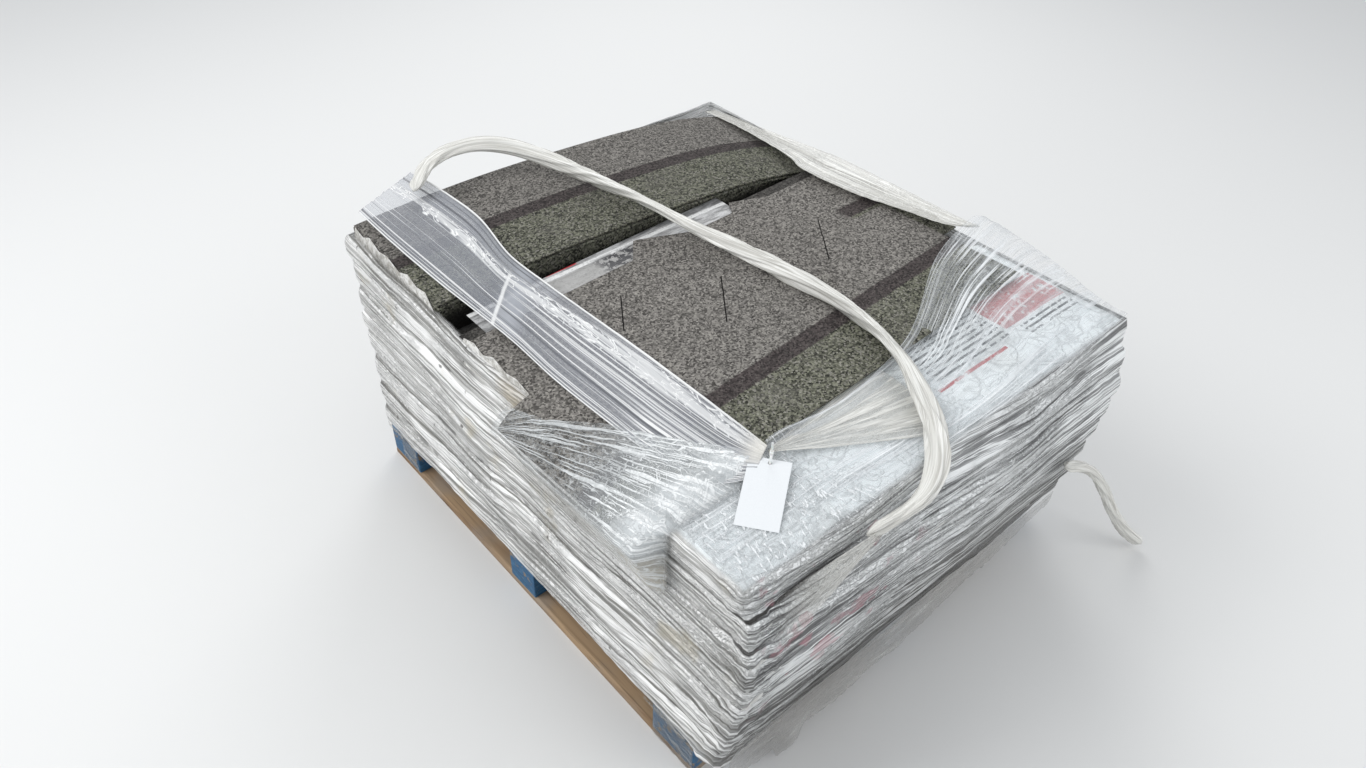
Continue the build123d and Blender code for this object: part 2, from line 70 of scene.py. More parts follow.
camera_data = bpy.data.cameras.new("camera")
camera_data.sensor_width = sensor_width
camera_data.lens = sensor_width * focal_pixels / photo_width
camera = bpy.data.objects.new("camera", camera_data)
turn = Matrix((camera_right, camera_up, camera_back)).transposed()
camera.matrix_world = Matrix.Translation(camera_place) @ turn.to_4x4()
scene.collection.objects.link(camera)
scene.camera = camera


# %% [markdown]
# ## Materials written as sums
# Shader nodes are tedious to wire by hand. A Signal wraps one output socket and turns
# Python operators into Math nodes, and its methods read textures at a place. A Finish
# holds one material, and its node method makes any node: first its settings, then the
# values or links of its sockets. Its tone is the colour so far, which paint covers.

# %% Wrap sockets and materials
class Signal:
    """An output socket that takes part in Python sums."""

    def __init__(self, finish, socket):
        self.finish = finish
        self.socket = socket

    def maths(self, operation, *others):
        return self.finish.sum_of(operation, self, *others)

    __add__ = __radd__ = partialmethod(maths, "ADD")
    __sub__ = partialmethod(maths, "SUBTRACT")
    __mul__ = __rmul__ = partialmethod(maths, "MULTIPLY")
    __truediv__ = partialmethod(maths, "DIVIDE")
    __pow__ = partialmethod(maths, "POWER")
    __abs__ = partialmethod(maths, "ABSOLUTE")
    either = partialmethod(maths, "MAXIMUM")
    at_most = partialmethod(maths, "MINIMUM")
    fraction = partialmethod(maths, "FRACT")

    def __rsub__(self, other):
        return self.finish.sum_of("SUBTRACT", other, self)

    def ease(self, low, high):
        """Rises from 0 to 1 as the value goes from low to high."""
        values = {0: self, 1: low, 2: high, 3: 0.0, 4: 1.0}
        return self.finish.node("ShaderNodeMapRange", {"interpolation_type": "SMOOTHSTEP"}, values)

    def within(self, low, high, soft=0.0008):
        """1 between two values and 0 outside them."""
        return self.ease(low - soft, low + soft) * self.ease(high + soft, high - soft)

    def parts(self):
        return [self.finish.node("ShaderNodeSeparateXYZ", {}, {0: self}, i) for i in range(3)]

    def stretch(self, scale, degrees=0.0):
        values = {"Vector": self, "Scale": scale, "Rotation": (0, 0, math.radians(degrees))}
        return self.finish.node("ShaderNodeMapping", {}, values)

    def grain(self, scale, detail=2.0, roughness=0.5, distortion=0.0):
        values = {"Vector": self, "Scale": scale, "Detail": detail}
        values.update({"Roughness": roughness, "Distortion": distortion})
        return self.finish.node("ShaderNodeTexNoise", {}, values)

    def cells(self, scale, output="Distance"):
        values = {"Vector": self, "Scale": scale}
        return self.finish.node("ShaderNodeTexVoronoi", {}, values, output)


class Finish:
    """One material, its principled shader and the nodes that feed it."""

    def __init__(self, name, constants):
        self.material = bpy.data.materials.new(name)
        self.material.use_nodes = True
        self.tree = self.material.node_tree
        self.shader = self.tree.nodes["Principled BSDF"]
        for socket, value in constants.items():
            self.feed(socket, value)

    def node(self, kind, settings, values, output=0):
        made = self.tree.nodes.new(kind)
        for name, value in settings.items():
            setattr(made, name, value)
        for key, value in values.items():
            self.give(made.inputs[key], value)
        return Signal(self, made.outputs[output])

    def sum_of(self, operation, *values):
        return self.node("ShaderNodeMath", {"operation": operation}, dict(enumerate(values)))

    def give(self, socket, value):
        if isinstance(value, Signal):
            self.tree.links.new(value.socket, socket)
        else:
            socket.default_value = (*value, 1.0) if socket.type == "RGBA" else value

    def feed(self, socket, value):
        self.give(self.shader.inputs[socket], value)

    def place(self):
        return self.node("ShaderNodeTexCoord", {}, {}, "Object")

    def surface(self):
        return self.node("ShaderNodeTexCoord", {}, {}, "UV")

    def join(self, *parts):
        return self.node("ShaderNodeCombineXYZ", {}, dict(enumerate(parts)))

    def blend(self, factor, first, second):
        values = {0: factor, 6: first, 7: second}
        return self.node("ShaderNodeMix", {"data_type": "RGBA"}, values, 2)

    def paint(self, mask, tint):
        """Covers the tone with a tint where the mask is 1."""
        self.tone = self.blend(mask, self.tone, tint)

    def close(self, height, distance, strength):
        """Feeds the tone and the relief to the shader."""
        self.feed("Base Color", self.tone)
        values = {"Strength": strength, "Distance": distance, "Height": height}
        self.feed("Normal", self.node("ShaderNodeBump", {}, values))


# %% [markdown]
# ## Floor and light
# The studio has a plain pale floor and soft light from large lamps. The floor shows the
# camera its own pale colour and keeps the load's shadow.

# %% Make the floor
floor_bm = bmesh.new()
bmesh.ops.create_grid(floor_bm, x_segments=1, y_segments=1, size=30)
floor_mesh = bpy.data.meshes.new("floor")
floor_bm.to_mesh(floor_mesh)
floor_bm.free()
floor = bpy.data.objects.new("floor", floor_mesh)
scene.collection.objects.link(floor)
floor_finish = Finish("floor_finish", {"Roughness": 0.9, "Base Color": (0.74, 0.74, 0.73)})
floor_mesh.materials.append(floor_finish.material)


# %% Set the lamps and the world
def soft_lamp(name, place, target, size, power):
    """Makes a square area lamp that faces a target."""
    data = bpy.data.lights.new(name, "AREA")
    data.shape = "SQUARE"
    data.size = size
    data.energy = power
    lamp = bpy.data.objects.new(name, data)
    facing = (Vector(place) - Vector(target)).to_track_quat("Z", "Y")
    lamp.matrix_world = Matrix.Translation(place) @ facing.to_matrix().to_4x4()
    scene.collection.objects.link(lamp)


soft_lamp("key_lamp", (-2.6, 1.4, 3.6), (0, 0, 0.4), 2.4, 102)
soft_lamp("fill_lamp", (1.6, -3.4, 2.6), (0, 0, 0.3), 2.6, 44)
soft_lamp("rear_lamp", (2.4, 2.6, 2.8), (0, 0, 0.4), 2.0, 38)
world = bpy.data.worlds.new("studio")
world.use_nodes = True
world_nodes, world_links = world.node_tree.nodes, world.node_tree.links
sky = world_nodes["Background"]
sky.inputs["Color"].default_value = (0.93, 0.96, 1.0, 1.0)
sky.inputs["Strength"].default_value = 0.66
backdrop = world_nodes.new("ShaderNodeBackground")
backdrop.inputs["Color"].default_value = (0.9, 0.91, 0.92, 1.0)
rays = world_nodes.new("ShaderNodeLightPath").outputs
seen = rays["Is Camera Ray"]
for ray in ("Is Transmission Ray", "Is Glossy Ray"):
    larger = world_nodes.new("ShaderNodeMath")
    larger.operation = "MAXIMUM"
    world_links.new(seen, larger.inputs[0])
    world_links.new(rays[ray], larger.inputs[1])
    seen = larger.outputs[0]
switch = world_nodes.new("ShaderNodeMixShader")
for index, source in enumerate((seen, sky.outputs[0], backdrop.outputs[0])):
    world_links.new(source, switch.inputs[index])
world_links.new(switch.outputs[0], world_nodes["World Output"].inputs["Surface"])
scene.world = world
scene.view_settings.view_transform = "Standard"


# %% [markdown]
# ## Helpers for shapes
# Most pieces here are sheets. Each starts as a flat bmesh grid, gets a UV map in metres,
# and then a small function says where each point of the grid goes. A closed tube is
# the same grid rolled up, with its seam welded.

# %% Helpers for sheets and pieces
film_thickness = 0.0004


def make_piece(name, bm, finish, replaced=()):
    """Turns a bmesh into a smooth piece that rides on the load."""
    mesh = bpy.data.meshes.new(name)
    bm.to_mesh(mesh)
    bm.free()
    mesh.shade_smooth()
    mesh.materials.append(finish.material)
    piece = bpy.data.objects.new(name, mesh)
    scene.collection.objects.link(piece)
    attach(piece, BODY)
    if replaced:
        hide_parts(*replaced)
    return piece


def sheet_grid(cells, size, place, chart=None):
    """Makes a grid with a UV map in metres and moves each point to its place."""
    bm = bmesh.new()
    bmesh.ops.create_grid(bm, x_segments=cells[0], y_segments=cells[1], size=0.5)
    uv = bm.loops.layers.uv.new("UVMap")
    for face in bm.faces:
        for loop in face.loops:
            across, along = loop.vert.co.x + 0.5, loop.vert.co.y + 0.5
            plain = (across * size[0], along * size[1])
            loop[uv].uv = chart(across, along) if chart else plain
    for vert in bm.verts:
        vert.co = place(vert.co.x + 0.5, vert.co.y + 0.5)
    return bm


def film_sheet(name, cells, size, place, finish, replaced=(), chart=None):
    """Makes a thin piece of film from a grid and a function that places its points."""
    bm = sheet_grid(cells, size, place, chart)
    bmesh.ops.recalc_face_normals(bm, faces=bm.faces)
    print(name, "area", round(sum(face.calc_area() for face in bm.faces), 4))
    piece = make_piece(name, bm, finish, replaced)
    wall = piece.modifiers.new("thickness", "SOLIDIFY")
    wall.thickness = film_thickness
    wall.offset = 1.0
    return piece


def mix(first, second, share):
    return first + (second - first) * share


def share_of(value, low, high):
    return min(max((value - low) / (high - low), 0.0), 1.0)


def ease(value, low, high):
    """Rises smoothly from 0 to 1 as the value goes from low to high."""
    share = share_of(value, low, high)
    return share * share * (3 - 2 * share)


def follow(points, share):
    """Gives the point at a share of the way along a smooth line through points."""
    reach = min(max(share, 0.0), 1.0) * (len(points) - 1)
    index = min(int(reach), len(points) - 2)
    t = reach - index
    before = points[max(index - 1, 0)]
    here, after = points[index], points[index + 1]
    beyond = points[min(index + 2, len(points) - 1)]
    bend = 2 * before - 5 * here + 4 * after - beyond
    swing = 3 * here - before - 3 * after + beyond
    return 0.5 * (2 * here + (after - before) * t + bend * t**2 + swing * t**3)


def straight(pairs, value):
    """Reads a height off a line of straight runs, given as pairs in rising order."""
    for (low, low_height), (high, high_height) in zip(pairs, pairs[1:]):
        if value <= high:
            return mix(low_height, high_height, share_of(value, low, high))
    return pairs[-1][1]


def ripple(x, y, z=0.0):
    """Smooth noise between about -1 and 1."""
    return noise.noise(Vector((x, y, z)))


def metres(points):
    return [Vector(point) / 1000 for point in points]


# %% Levels of the load, in metres as in part.py
deck_top = 0.142
course_height = 0.058
course_places = [
    (-0.530, -0.606, 0.488), (-0.524, -0.620, 0.502), (-0.520, -0.626, 0.514), (-0.513, -0.634, 0.536),
    (-0.515, -0.640, 0.540), (-0.517, -0.643, 0.530), (-0.512, -0.632, 0.534), (-0.516, -0.616, 0.545),
]
bundle_length, bundle_width = 0.996, 0.350
load_top = deck_top + len(course_places) * course_height
top_course_bottom = load_top - course_height

# %% [markdown]
# ## Film finishes
# Stretch film is almost invisible where it lies flat. Every fold doubles it and catches
# the light, so folds read as white streaks with grey lines between them, which run the
# way the film was pulled. The white streaks are partly milky doubled film and partly
# painted highlight, and the grey lines are painted shade. The pull runs along the U
# direction of each sheet. Noises that are stretched along U, each with its own slow
# drift, drive the alpha, the colour and the relief.


# %% Make the film finishes
def streaks(uv, along, across, fan, offset, slope=0.0):
    """Noise drawn out along U, whose lines lean by the slope and wander by the fan."""
    drift = uv.stretch((1.5, 2.6, 1.0)).grain(1.0, 1.5)
    u, v, _ = uv.parts()
    lines = (v + u * slope + drift * fan) * across
    return uv.finish.join(u * along + offset, lines, offset).grain(1.0, 2.0, 0.6)


def ridges(vector, scale, width):
    """Thin crooked creases, as on crumpled film: 1 on each crease and 0 between."""
    return abs(vector.grain(scale, 2.0, 0.55, 0.8) - 0.5).ease(width, 0.0)


def clear_film(name, roughness):
    return Finish(name, {"Roughness": roughness, "IOR": 1.5, "Specular IOR Level": 0.5})


def film_finish(name, pull, see, tints, crinkle=0.0, lines=0.5, zone=None, fade=None, calm=0.6):
    """A film with white streaks and grey lines along U, clear where it lies flat."""
    along, across, fan = pull
    clear, milky = see
    white, plain, dark = tints
    film = clear_film(name, 0.26)
    uv = film.surface()
    broad = streaks(uv, along, across, fan, 0.0)
    fine = streaks(uv, along * 1.7, across * 2.9, fan * 1.6, 3.0)
    hair = streaks(uv, along * 2.3, across * 6.1, fan * 0.6, 7.0)
    patch = uv.stretch((3.0, 9.0, 1.0)).grain(1.0, 2.0).ease(0.34, 0.66)
    # bright is partly milky doubled film and partly painted highlight; shade is painted shade in the lines
    # between folds
    bright = fine.ease(0.5, 0.62).either(hair.ease(0.56, 0.66) * 0.8)
    bright = bright * (patch * calm + (1.0 - calm))
    shade = broad.ease(0.47, 0.36).either(fine.ease(0.43, 0.33)) * lines
    shade = shade.either(hair.ease(0.42, 0.35) * min(lines * 1.6, 0.6))
    height = broad * 0.5 + fine * 0.4 + hair * 0.15
    if crinkle:
        creases = ridges(uv, 30.0, 0.035).either(ridges(uv, 71.0, 0.05) * 0.8) * crinkle
        if zone:
            more, start, stop = zone
            here = uv.parts()[0].ease(stop, start)
            strokes = uv.stretch((210.0, 34.0, 1.0), 8.0).grain(1.0, 3.0, 0.65, 0.3)
            creases = creases.either(strokes.ease(0.53, 0.6) * here * more)
            shade = shade.either(strokes.ease(0.45, 0.38) * here * 0.5)
        bright = bright.either(creases)
        height = height + creases * 0.4
    alpha = clear + (bright * 0.75 + broad.ease(0.42, 0.66) * 0.35) * (milky - clear)
    alpha = alpha.either(shade * milky * 0.75)
    if fade:
        start, stop = fade
        alpha = alpha * (uv.parts()[0] + broad * 0.12 - 0.06).ease(stop, start)
    film.feed("Alpha", film.node("ShaderNodeClamp", {}, {0: alpha, 1: 0.0, 2: 0.97}))
    film.tone = film.blend(bright, film.blend(shade, plain, dark), white)
    film.close(height, 0.006, 0.75)
    return film


cool = ((0.93, 0.95, 0.96), (0.66, 0.69, 0.71), (0.22, 0.23, 0.23))
dim_tints = ((0.6, 0.6, 0.57), (0.3, 0.29, 0.27), (0.1, 0.09, 0.075))
ivory = ((0.93, 0.925, 0.89), (0.8, 0.79, 0.74), (0.42, 0.4, 0.36))

hood_film = film_finish(
    "hood_film", (2.4, 64.0, 0.05), (0.02, 0.78), cool, 0.22, 0.32, zone=(0.95, 0.24, 0.40), calm=0.9
)
edge_film = film_finish("edge_film", (2.0, 80.0, 0.03), (0.42, 0.97), ivory, 0.4, 0.4)
skirt_film = film_finish("skirt_film", (5.0, 34.0, 0.08), (0.12, 0.42), dim_tints, 0.4, 0.6)
rope_film = film_finish("rope_film", (3.0, 120.0, 0.04), (0.78, 0.97), ivory, 0.0, 0.55)

# %% [markdown]
# ## The film ropes
# Loose film winds itself into a rope. It is one piece of fixed length, so it is a cord:
# its line is a smooth spline through the route of part.py, and the mesh is a grid
# rolled round that line, with pleats that twist as they go.

# %% Lay the two ropes along their routes
rope_route = metres([
    (-384, 470, 690), (-340, 518, 703), (-268, 540, 712), (-178, 528, 708),
    (-108, 462, 690), (-54, 322, 668), (-26, 192, 667), (8, 60, 648),
    (46, -110, 637.6), (62, -280, 637.6), (28, -436, 637.8), (-34, -542, 632),
    (-92, -612, 624), (-156, -652, 606), (-222, -652, 592), (-288, -640, 586),
])
tail_route = metres([
    (350, -650, 322), (424, -654, 282), (484, -668, 228), (518, -692, 166),
    (546, -716, 100), (574, -746, 48), (606, -778, 14),
])
step_length = 0.004
round_cells = 36
seam_gap = 0.00002


def spline_points(name, route):
    """Gives points along the smooth line of a route, from a curve that is then removed."""
    curve = bpy.data.curves.new(name, "CURVE")
    curve.dimensions = "3D"
    curve.resolution_u = 14
    spline = curve.splines.new("NURBS")
    spline.points.add(len(route) - 1)
    for point, place in zip(spline.points, route):
        point.co = (*place, 1.0)
    spline.order_u = 3
    spline.use_endpoint_u = True
    holder = bpy.data.objects.new(name, curve)
    scene.collection.objects.link(holder)
    depsgraph = bpy.context.evaluated_depsgraph_get()
    mesh = bpy.data.meshes.new_from_object(holder.evaluated_get(depsgraph))
    line = [vert.co.copy() for vert in mesh.vertices]
    bpy.data.objects.remove(holder)
    bpy.data.meshes.remove(mesh)
    return line


def run_lengths(line):
    return [(after - here).length for here, after in zip(line, line[1:])]


def even_line(line, spacing):
    """Gives points a fixed distance apart along a line, and its whole length."""
    runs = run_lengths(line)
    total = sum(runs)
    count = round(total / spacing)
    places, index, passed = [], 0, 0.0
    for step in range(count + 1):
        target = total * step / count
        while index < len(runs) - 1 and passed + runs[index] < target:
            passed += runs[index]
            index += 1
        share = (target - passed) / runs[index]
        places.append(line[index].lerp(line[index + 1], share))
    return places, total


def film_rope(name, route, diameter, flatness, seed):
    """Rolls a grid round a route, with twisted pleats and closed ends."""
    path, length = even_line(spline_points(name + "_line", route), step_length)
    rows = len(path) - 1
    frames, side = [], Vector((0, 0, 1))
    for index, point in enumerate(path):
        ahead = path[min(index + 1, rows)] - path[max(index - 1, 0)]
        ahead.normalize()
        side = (side - ahead * side.dot(ahead)).normalized()
        frames.append((point, side.copy(), ahead.cross(side)))

    def place(across, along):
        index = min(round(along * rows), rows)
        point, up, out = frames[index]
        reach = index * length / rows
        angle = 2 * math.pi * across
        twist = angle + 9.0 * reach + 1.6 * ripple(reach * 4, seed)
        pleats = 0.5 + 0.5 * math.cos(5 * twist + 2 * ripple(reach * 9, seed, 3))
        folds = 0.5 + 0.5 * math.cos(11 * twist - 3 * ripple(reach * 14, seed, 7))
        radius = diameter / 2 * (0.7 + 0.24 * pleats + 0.1 * folds)
        radius *= 1 + 0.12 * ripple(reach * 11, seed, 5) + 0.16 * ease(reach / length, 0.5, 0.85)
        ends = min(reach, length - reach) / (0.8 * diameter)
        radius *= math.sqrt(min(ends, 1.0))
        lean = 5.0 * reach + seed
        first = math.cos(angle - lean) * (1 + flatness)
        second = math.sin(angle - lean) * (1 - flatness)
        across_up = first * math.cos(lean) - second * math.sin(lean)
        across_out = first * math.sin(lean) + second * math.cos(lean)
        return point + (up * across_up + out * across_out) * radius

    def chart(across, along):
        return (along * length, across * (math.pi * diameter))

    bm = sheet_grid((round_cells, rows), (math.pi * diameter, length), place, chart)
    bmesh.ops.remove_doubles(bm, verts=bm.verts, dist=seam_gap)
    bmesh.ops.recalc_face_normals(bm, faces=bm.faces)
    piece = make_piece(name + "_film", bm, rope_film, (name,))
    print(name, "length", round(length, 3), "faces", len(piece.data.polygons))
    return piece, path


long_rope, long_path = film_rope("film_rope_long", rope_route, 0.028, 0.3, 1.0)
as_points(long_path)
tail, tail_path = film_rope("film_tail", tail_route, 0.022, 0.14, 2.0)
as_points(tail_path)

# %% [markdown]
# ## The pallet
# The boards are weathered softwood. Their grain runs along each board, so boards along X
# and boards along Y get the same finish turned a quarter.


# %% Finish the pallet
def wood_finish(name, degrees):
    """Weathered sawn wood whose grain runs along the board."""
    wood = Finish(name, {"Roughness": 0.82, "Specular IOR Level": 0.3})
    place = wood.place().stretch((1.0, 1.0, 1.0), degrees)
    rings = place.stretch((2.4, 42.0, 42.0)).grain(1.0, 4.0, 0.6, 0.6)
    fibres = place.stretch((9.0, 320.0, 320.0)).grain(1.0, 2.0)
    wood.tone = wood.blend(rings.ease(0.34, 0.68), (0.2, 0.125, 0.07), (0.4, 0.28, 0.17))
    wood.paint(place.grain(7.0, 3.0).ease(0.42, 0.66) * 0.55, (0.29, 0.255, 0.22))
    wood.paint(fibres.ease(0.62, 0.7) * 0.55, (0.06, 0.042, 0.03))
    wood.close(rings * 0.4 + fibres * 0.5, 0.0016, 0.7)
    return wood


wood_along_x = wood_finish("wood_along_x", 0)
wood_along_y = wood_finish("wood_along_y", 90)

blue = Finish("worn_blue_paint", {"Roughness": 0.6})
scratches = blue.place().stretch((60.0, 60.0, 340.0)).grain(1.0, 3.0, 0.6)
worn = blue.place().grain(46.0, 4.0, 0.7).ease(0.56, 0.63)
blue.tone = blue.blend(scratches.ease(0.35, 0.7), (0.012, 0.075, 0.17), (0.035, 0.15, 0.29))
blue.paint(worn, (0.24, 0.18, 0.12))
blue.close(scratches * 0.4 - worn, 0.001, 0.6)


def dress_node(node, finish):
    """Gives a CAD node that stays in view its finish."""
    thing = bpy.data.objects[node]
    if thing.material_slots:
        for slot in thing.material_slots:
            slot.material = finish.material
    else:
        thing.data.materials.append(finish.material)


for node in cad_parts:
    if node.startswith("block_"):
        dress_node(node, blue)
    elif node.startswith("deck_board") or node in ("base_board_left", "base_board_right"):
        dress_node(node, wood_along_y)
    elif node.startswith(("stringer_board", "base_board")):
        dress_node(node, wood_along_x)

# %% [markdown]
# ## The wrapped bundles
# A bundle is a stack of shingles in printed white paper. It is stiff but never flat: its
# top sags between the ends and its sides bulge. One box is cut into a fine grid once, and
# every bundle is a copy of it, bulged, turned and creased by its own noise. The print is
# a faded block and plain bars, which show on the top face alone.

# %% Finish the wrapper
wrapper = Finish("white_wrapper", {"Roughness": 0.5, "Specular IOR Level": 0.4})
place = wrapper.place()
x, y, z = place.parts()
drawn = place.stretch((8.0, 10.0, 62.0))
fold = place.stretch((16.0, 30.0, 30.0)).grain(1.0, 2.5, 0.5, 0.9)
line = drawn.grain(1.0, 4.0, 0.66, 0.5)
crease = ridges(drawn, 1.6, 0.04).either(ridges(place, 24.0, 0.03) * 0.7)
on_top = z.ease(load_top - 0.009, load_top - 0.004)
# The sides are painted darker than the top as painted shade, streaked along the paper
shaded_paper_side = wrapper.blend(line.ease(0.38, 0.6), (0.4, 0.395, 0.37), (0.74, 0.74, 0.72))
wrapper.tone = wrapper.blend(on_top, shaded_paper_side, (0.86, 0.905, 0.915))
dirt = place.grain(9.0, 4.0, 0.6).ease(0.5, 0.72)
wrapper.paint(dirt * (0.5 - on_top * 0.35), (0.5, 0.47, 0.4))
# Creases are darkened with painted shade
wrapper.paint(crease * 0.45, (0.4, 0.42, 0.43))

faded = place.grain(52.0, 4.0, 0.7).ease(0.68, 0.5)
block = x.within(0.270, 0.462) * y.within(-0.487, -0.404) * faded
wrapper.paint(block * on_top, (0.56, 0.27, 0.28))
stripes = (y / 0.0118).fraction().ease(0.56, 0.6) * place.grain(95.0).ease(0.38, 0.44)
left_bars = x.within(0.055, 0.262) * y.within(-0.506, -0.404)
right_bars = x.within(0.300, 0.452) * y.within(-0.530, -0.496)
wrapper.paint(left_bars.either(right_bars) * stripes * on_top, (0.15, 0.16, 0.17))
red_bar = x.within(0.035, 0.228) * y.within(-0.5215, -0.5145)
wrapper.paint(red_bar * faded * on_top, (0.5, 0.13, 0.14))
slit_run = x.ease(-0.014, 0.004) * x.ease(0.052, 0.034)
slit = (y + x * 0.08).within(-0.607, -0.599, 0.002) * slit_run
wrapper.paint(slit * on_top, (0.1, 0.12, 0.11))
# Painted shade darkens the gaps between courses on the sides
course_share = ((z - deck_top) / course_height).fraction()
joint_shade = abs(course_share - 0.5).ease(0.38, 0.48) * (1.0 - on_top)
wrapper.paint(joint_shade * 0.85, (0.05, 0.046, 0.04))
wrapper.close(line * 0.5 + fold + crease * 0.3, 0.006, 0.75)

# %% Shape the wrapped bundles
side_bulge, end_bulge = 0.013, 0.011
plan_radius = 0.005
bundle_gap = 0.003
axis_cuts = ((0, 82), (1, 28), (2, 5))


def bundle_blank():
    """Cuts a box of two by two by two into the grid that every bundle starts from."""
    bm = bmesh.new()
    bmesh.ops.create_cube(bm, size=2)
    for axis, cuts in axis_cuts:
        ends = [(edge, edge.verts[0].co[axis], edge.verts[1].co[axis]) for edge in bm.edges]
        edges = [edge for edge, start, end in ends if abs(start - end) > 1e-6]
        bmesh.ops.subdivide_edges(bm, edges=edges, cuts=cuts, use_grid_fill=True)
    mesh = bpy.data.meshes.new("bundle_blank")
    bm.to_mesh(mesh)
    bm.free()
    return mesh


def shape_bundle(vert, seed, centre, degrees, width):
    """Moves one point of a blank to its place on a pillow-shaped bundle."""
    x, y, z = vert.co
    fullness = math.sqrt(max(0.0, 1 - abs(z) ** 2.4))
    half_x = bundle_length / 2 - end_bulge * (1 - fullness)
    half_y = width / 2 - side_bulge * (1 - fullness)
    px, py = x * half_x, y * half_y
    over_x = abs(px) - (half_x - plan_radius)
    over_y = abs(py) - (half_y - plan_radius)
    if over_x > 0 and over_y > 0:
        squeeze = max(over_x, over_y) / math.hypot(over_x, over_y)
        px = math.copysign(half_x - plan_radius + over_x * squeeze, px)
        py = math.copysign(half_y - plan_radius + over_y * squeeze, py)
    rim = max(ease(abs(x), 0.93, 1.0), ease(abs(y), 0.86, 1.0))
    pz = z * course_height / 2 * (1 - 0.16 * rim)
    crease = ripple(px * 7 + seed, py * 7, pz * 60)
    lump = ripple(px * 16, py * 16 + seed, pz * 30)
    on_side = 1 - ease(abs(z), 0.7, 1.0)
    px += math.copysign(0.0022 * crease * on_side * ease(abs(x), 0.97, 1.0), x)
    py += math.copysign(0.0024 * crease * on_side * ease(abs(y), 0.95, 1.0), y)
    if z > 0.99:
        pz += 0.0022 * lump - 0.0018 * (1 - rim)
    lean = math.radians(degrees)
    vert.co = (
        centre[0] + px * math.cos(lean) - py * math.sin(lean),
        centre[1] + px * math.sin(lean) + py * math.cos(lean),
        centre[2] + pz,
    )


blank = bundle_blank()
for course, (left_end, near_edge, far_edge) in enumerate(course_places, start=1):
    top_one = course == len(course_places)
    width = bundle_width if top_one else (far_edge - near_edge) / 3 - bundle_gap
    near_row = near_edge + width / 2
    far_row = far_edge - width / 2
    rows = [near_row, (near_row + far_row) / 2, far_row]
    middle = deck_top + (course - 0.5) * course_height
    bm = bmesh.new()
    for order, row in enumerate(rows[:1] if top_one else rows):
        start = len(bm.verts)
        bm.from_mesh(blank)
        bm.verts.ensure_lookup_table()
        degrees = 0.0 if top_one else 0.12 * math.sin(2.3 * (course - 1) + 1.9 * order)
        centre = (left_end + bundle_length / 2, row, middle)
        for vert in bm.verts[start:]:
            shape_bundle(vert, course * 7.3 + order * 3.1, centre, degrees, width)
    make_piece(f"course_{course}_bundles", bm, wrapper, (f"course_{course}",))
bpy.data.meshes.remove(blank)

# %% [markdown]
# ## Shingles
# Stone granules cover the asphalt. Each shingle has a greenish exposure along its near
# edge, a dark purple-brown shadow band, and a brown-grey headlap. The granules are cells
# of about two millimetres with their own colours. Every sheet lies at its own turn, so
# the bands are measured from its own centre.

# %% Finish the shingles
shingle_width = 0.337
band_edge = 0.002
middle_row, far_row = -0.0355, 0.355
lap_slits = [
    ((-0.223, middle_row + 0.0575), (-0.284, middle_row - 0.0285)),
    ((-0.036, middle_row - 0.0135), (-0.128, middle_row - 0.1285)),
    ((0.264, middle_row + 0.0145), (0.166, middle_row - 0.1065)),
]


def stroke(spot, start, end, half_width):
    """A thin straight line between two places, 1 on it and 0 beside it."""
    run, rise = end[0] - start[0], end[1] - start[1]
    length = math.hypot(run, rise)
    ahead, aside = run / length, rise / length
    across, along = spot[0] - start[0], spot[1] - start[1]
    way = across * ahead + along * aside
    off = across * aside - along * ahead
    return way.within(0.0, length, 0.002) * off.within(-half_width, half_width, 0.0005)


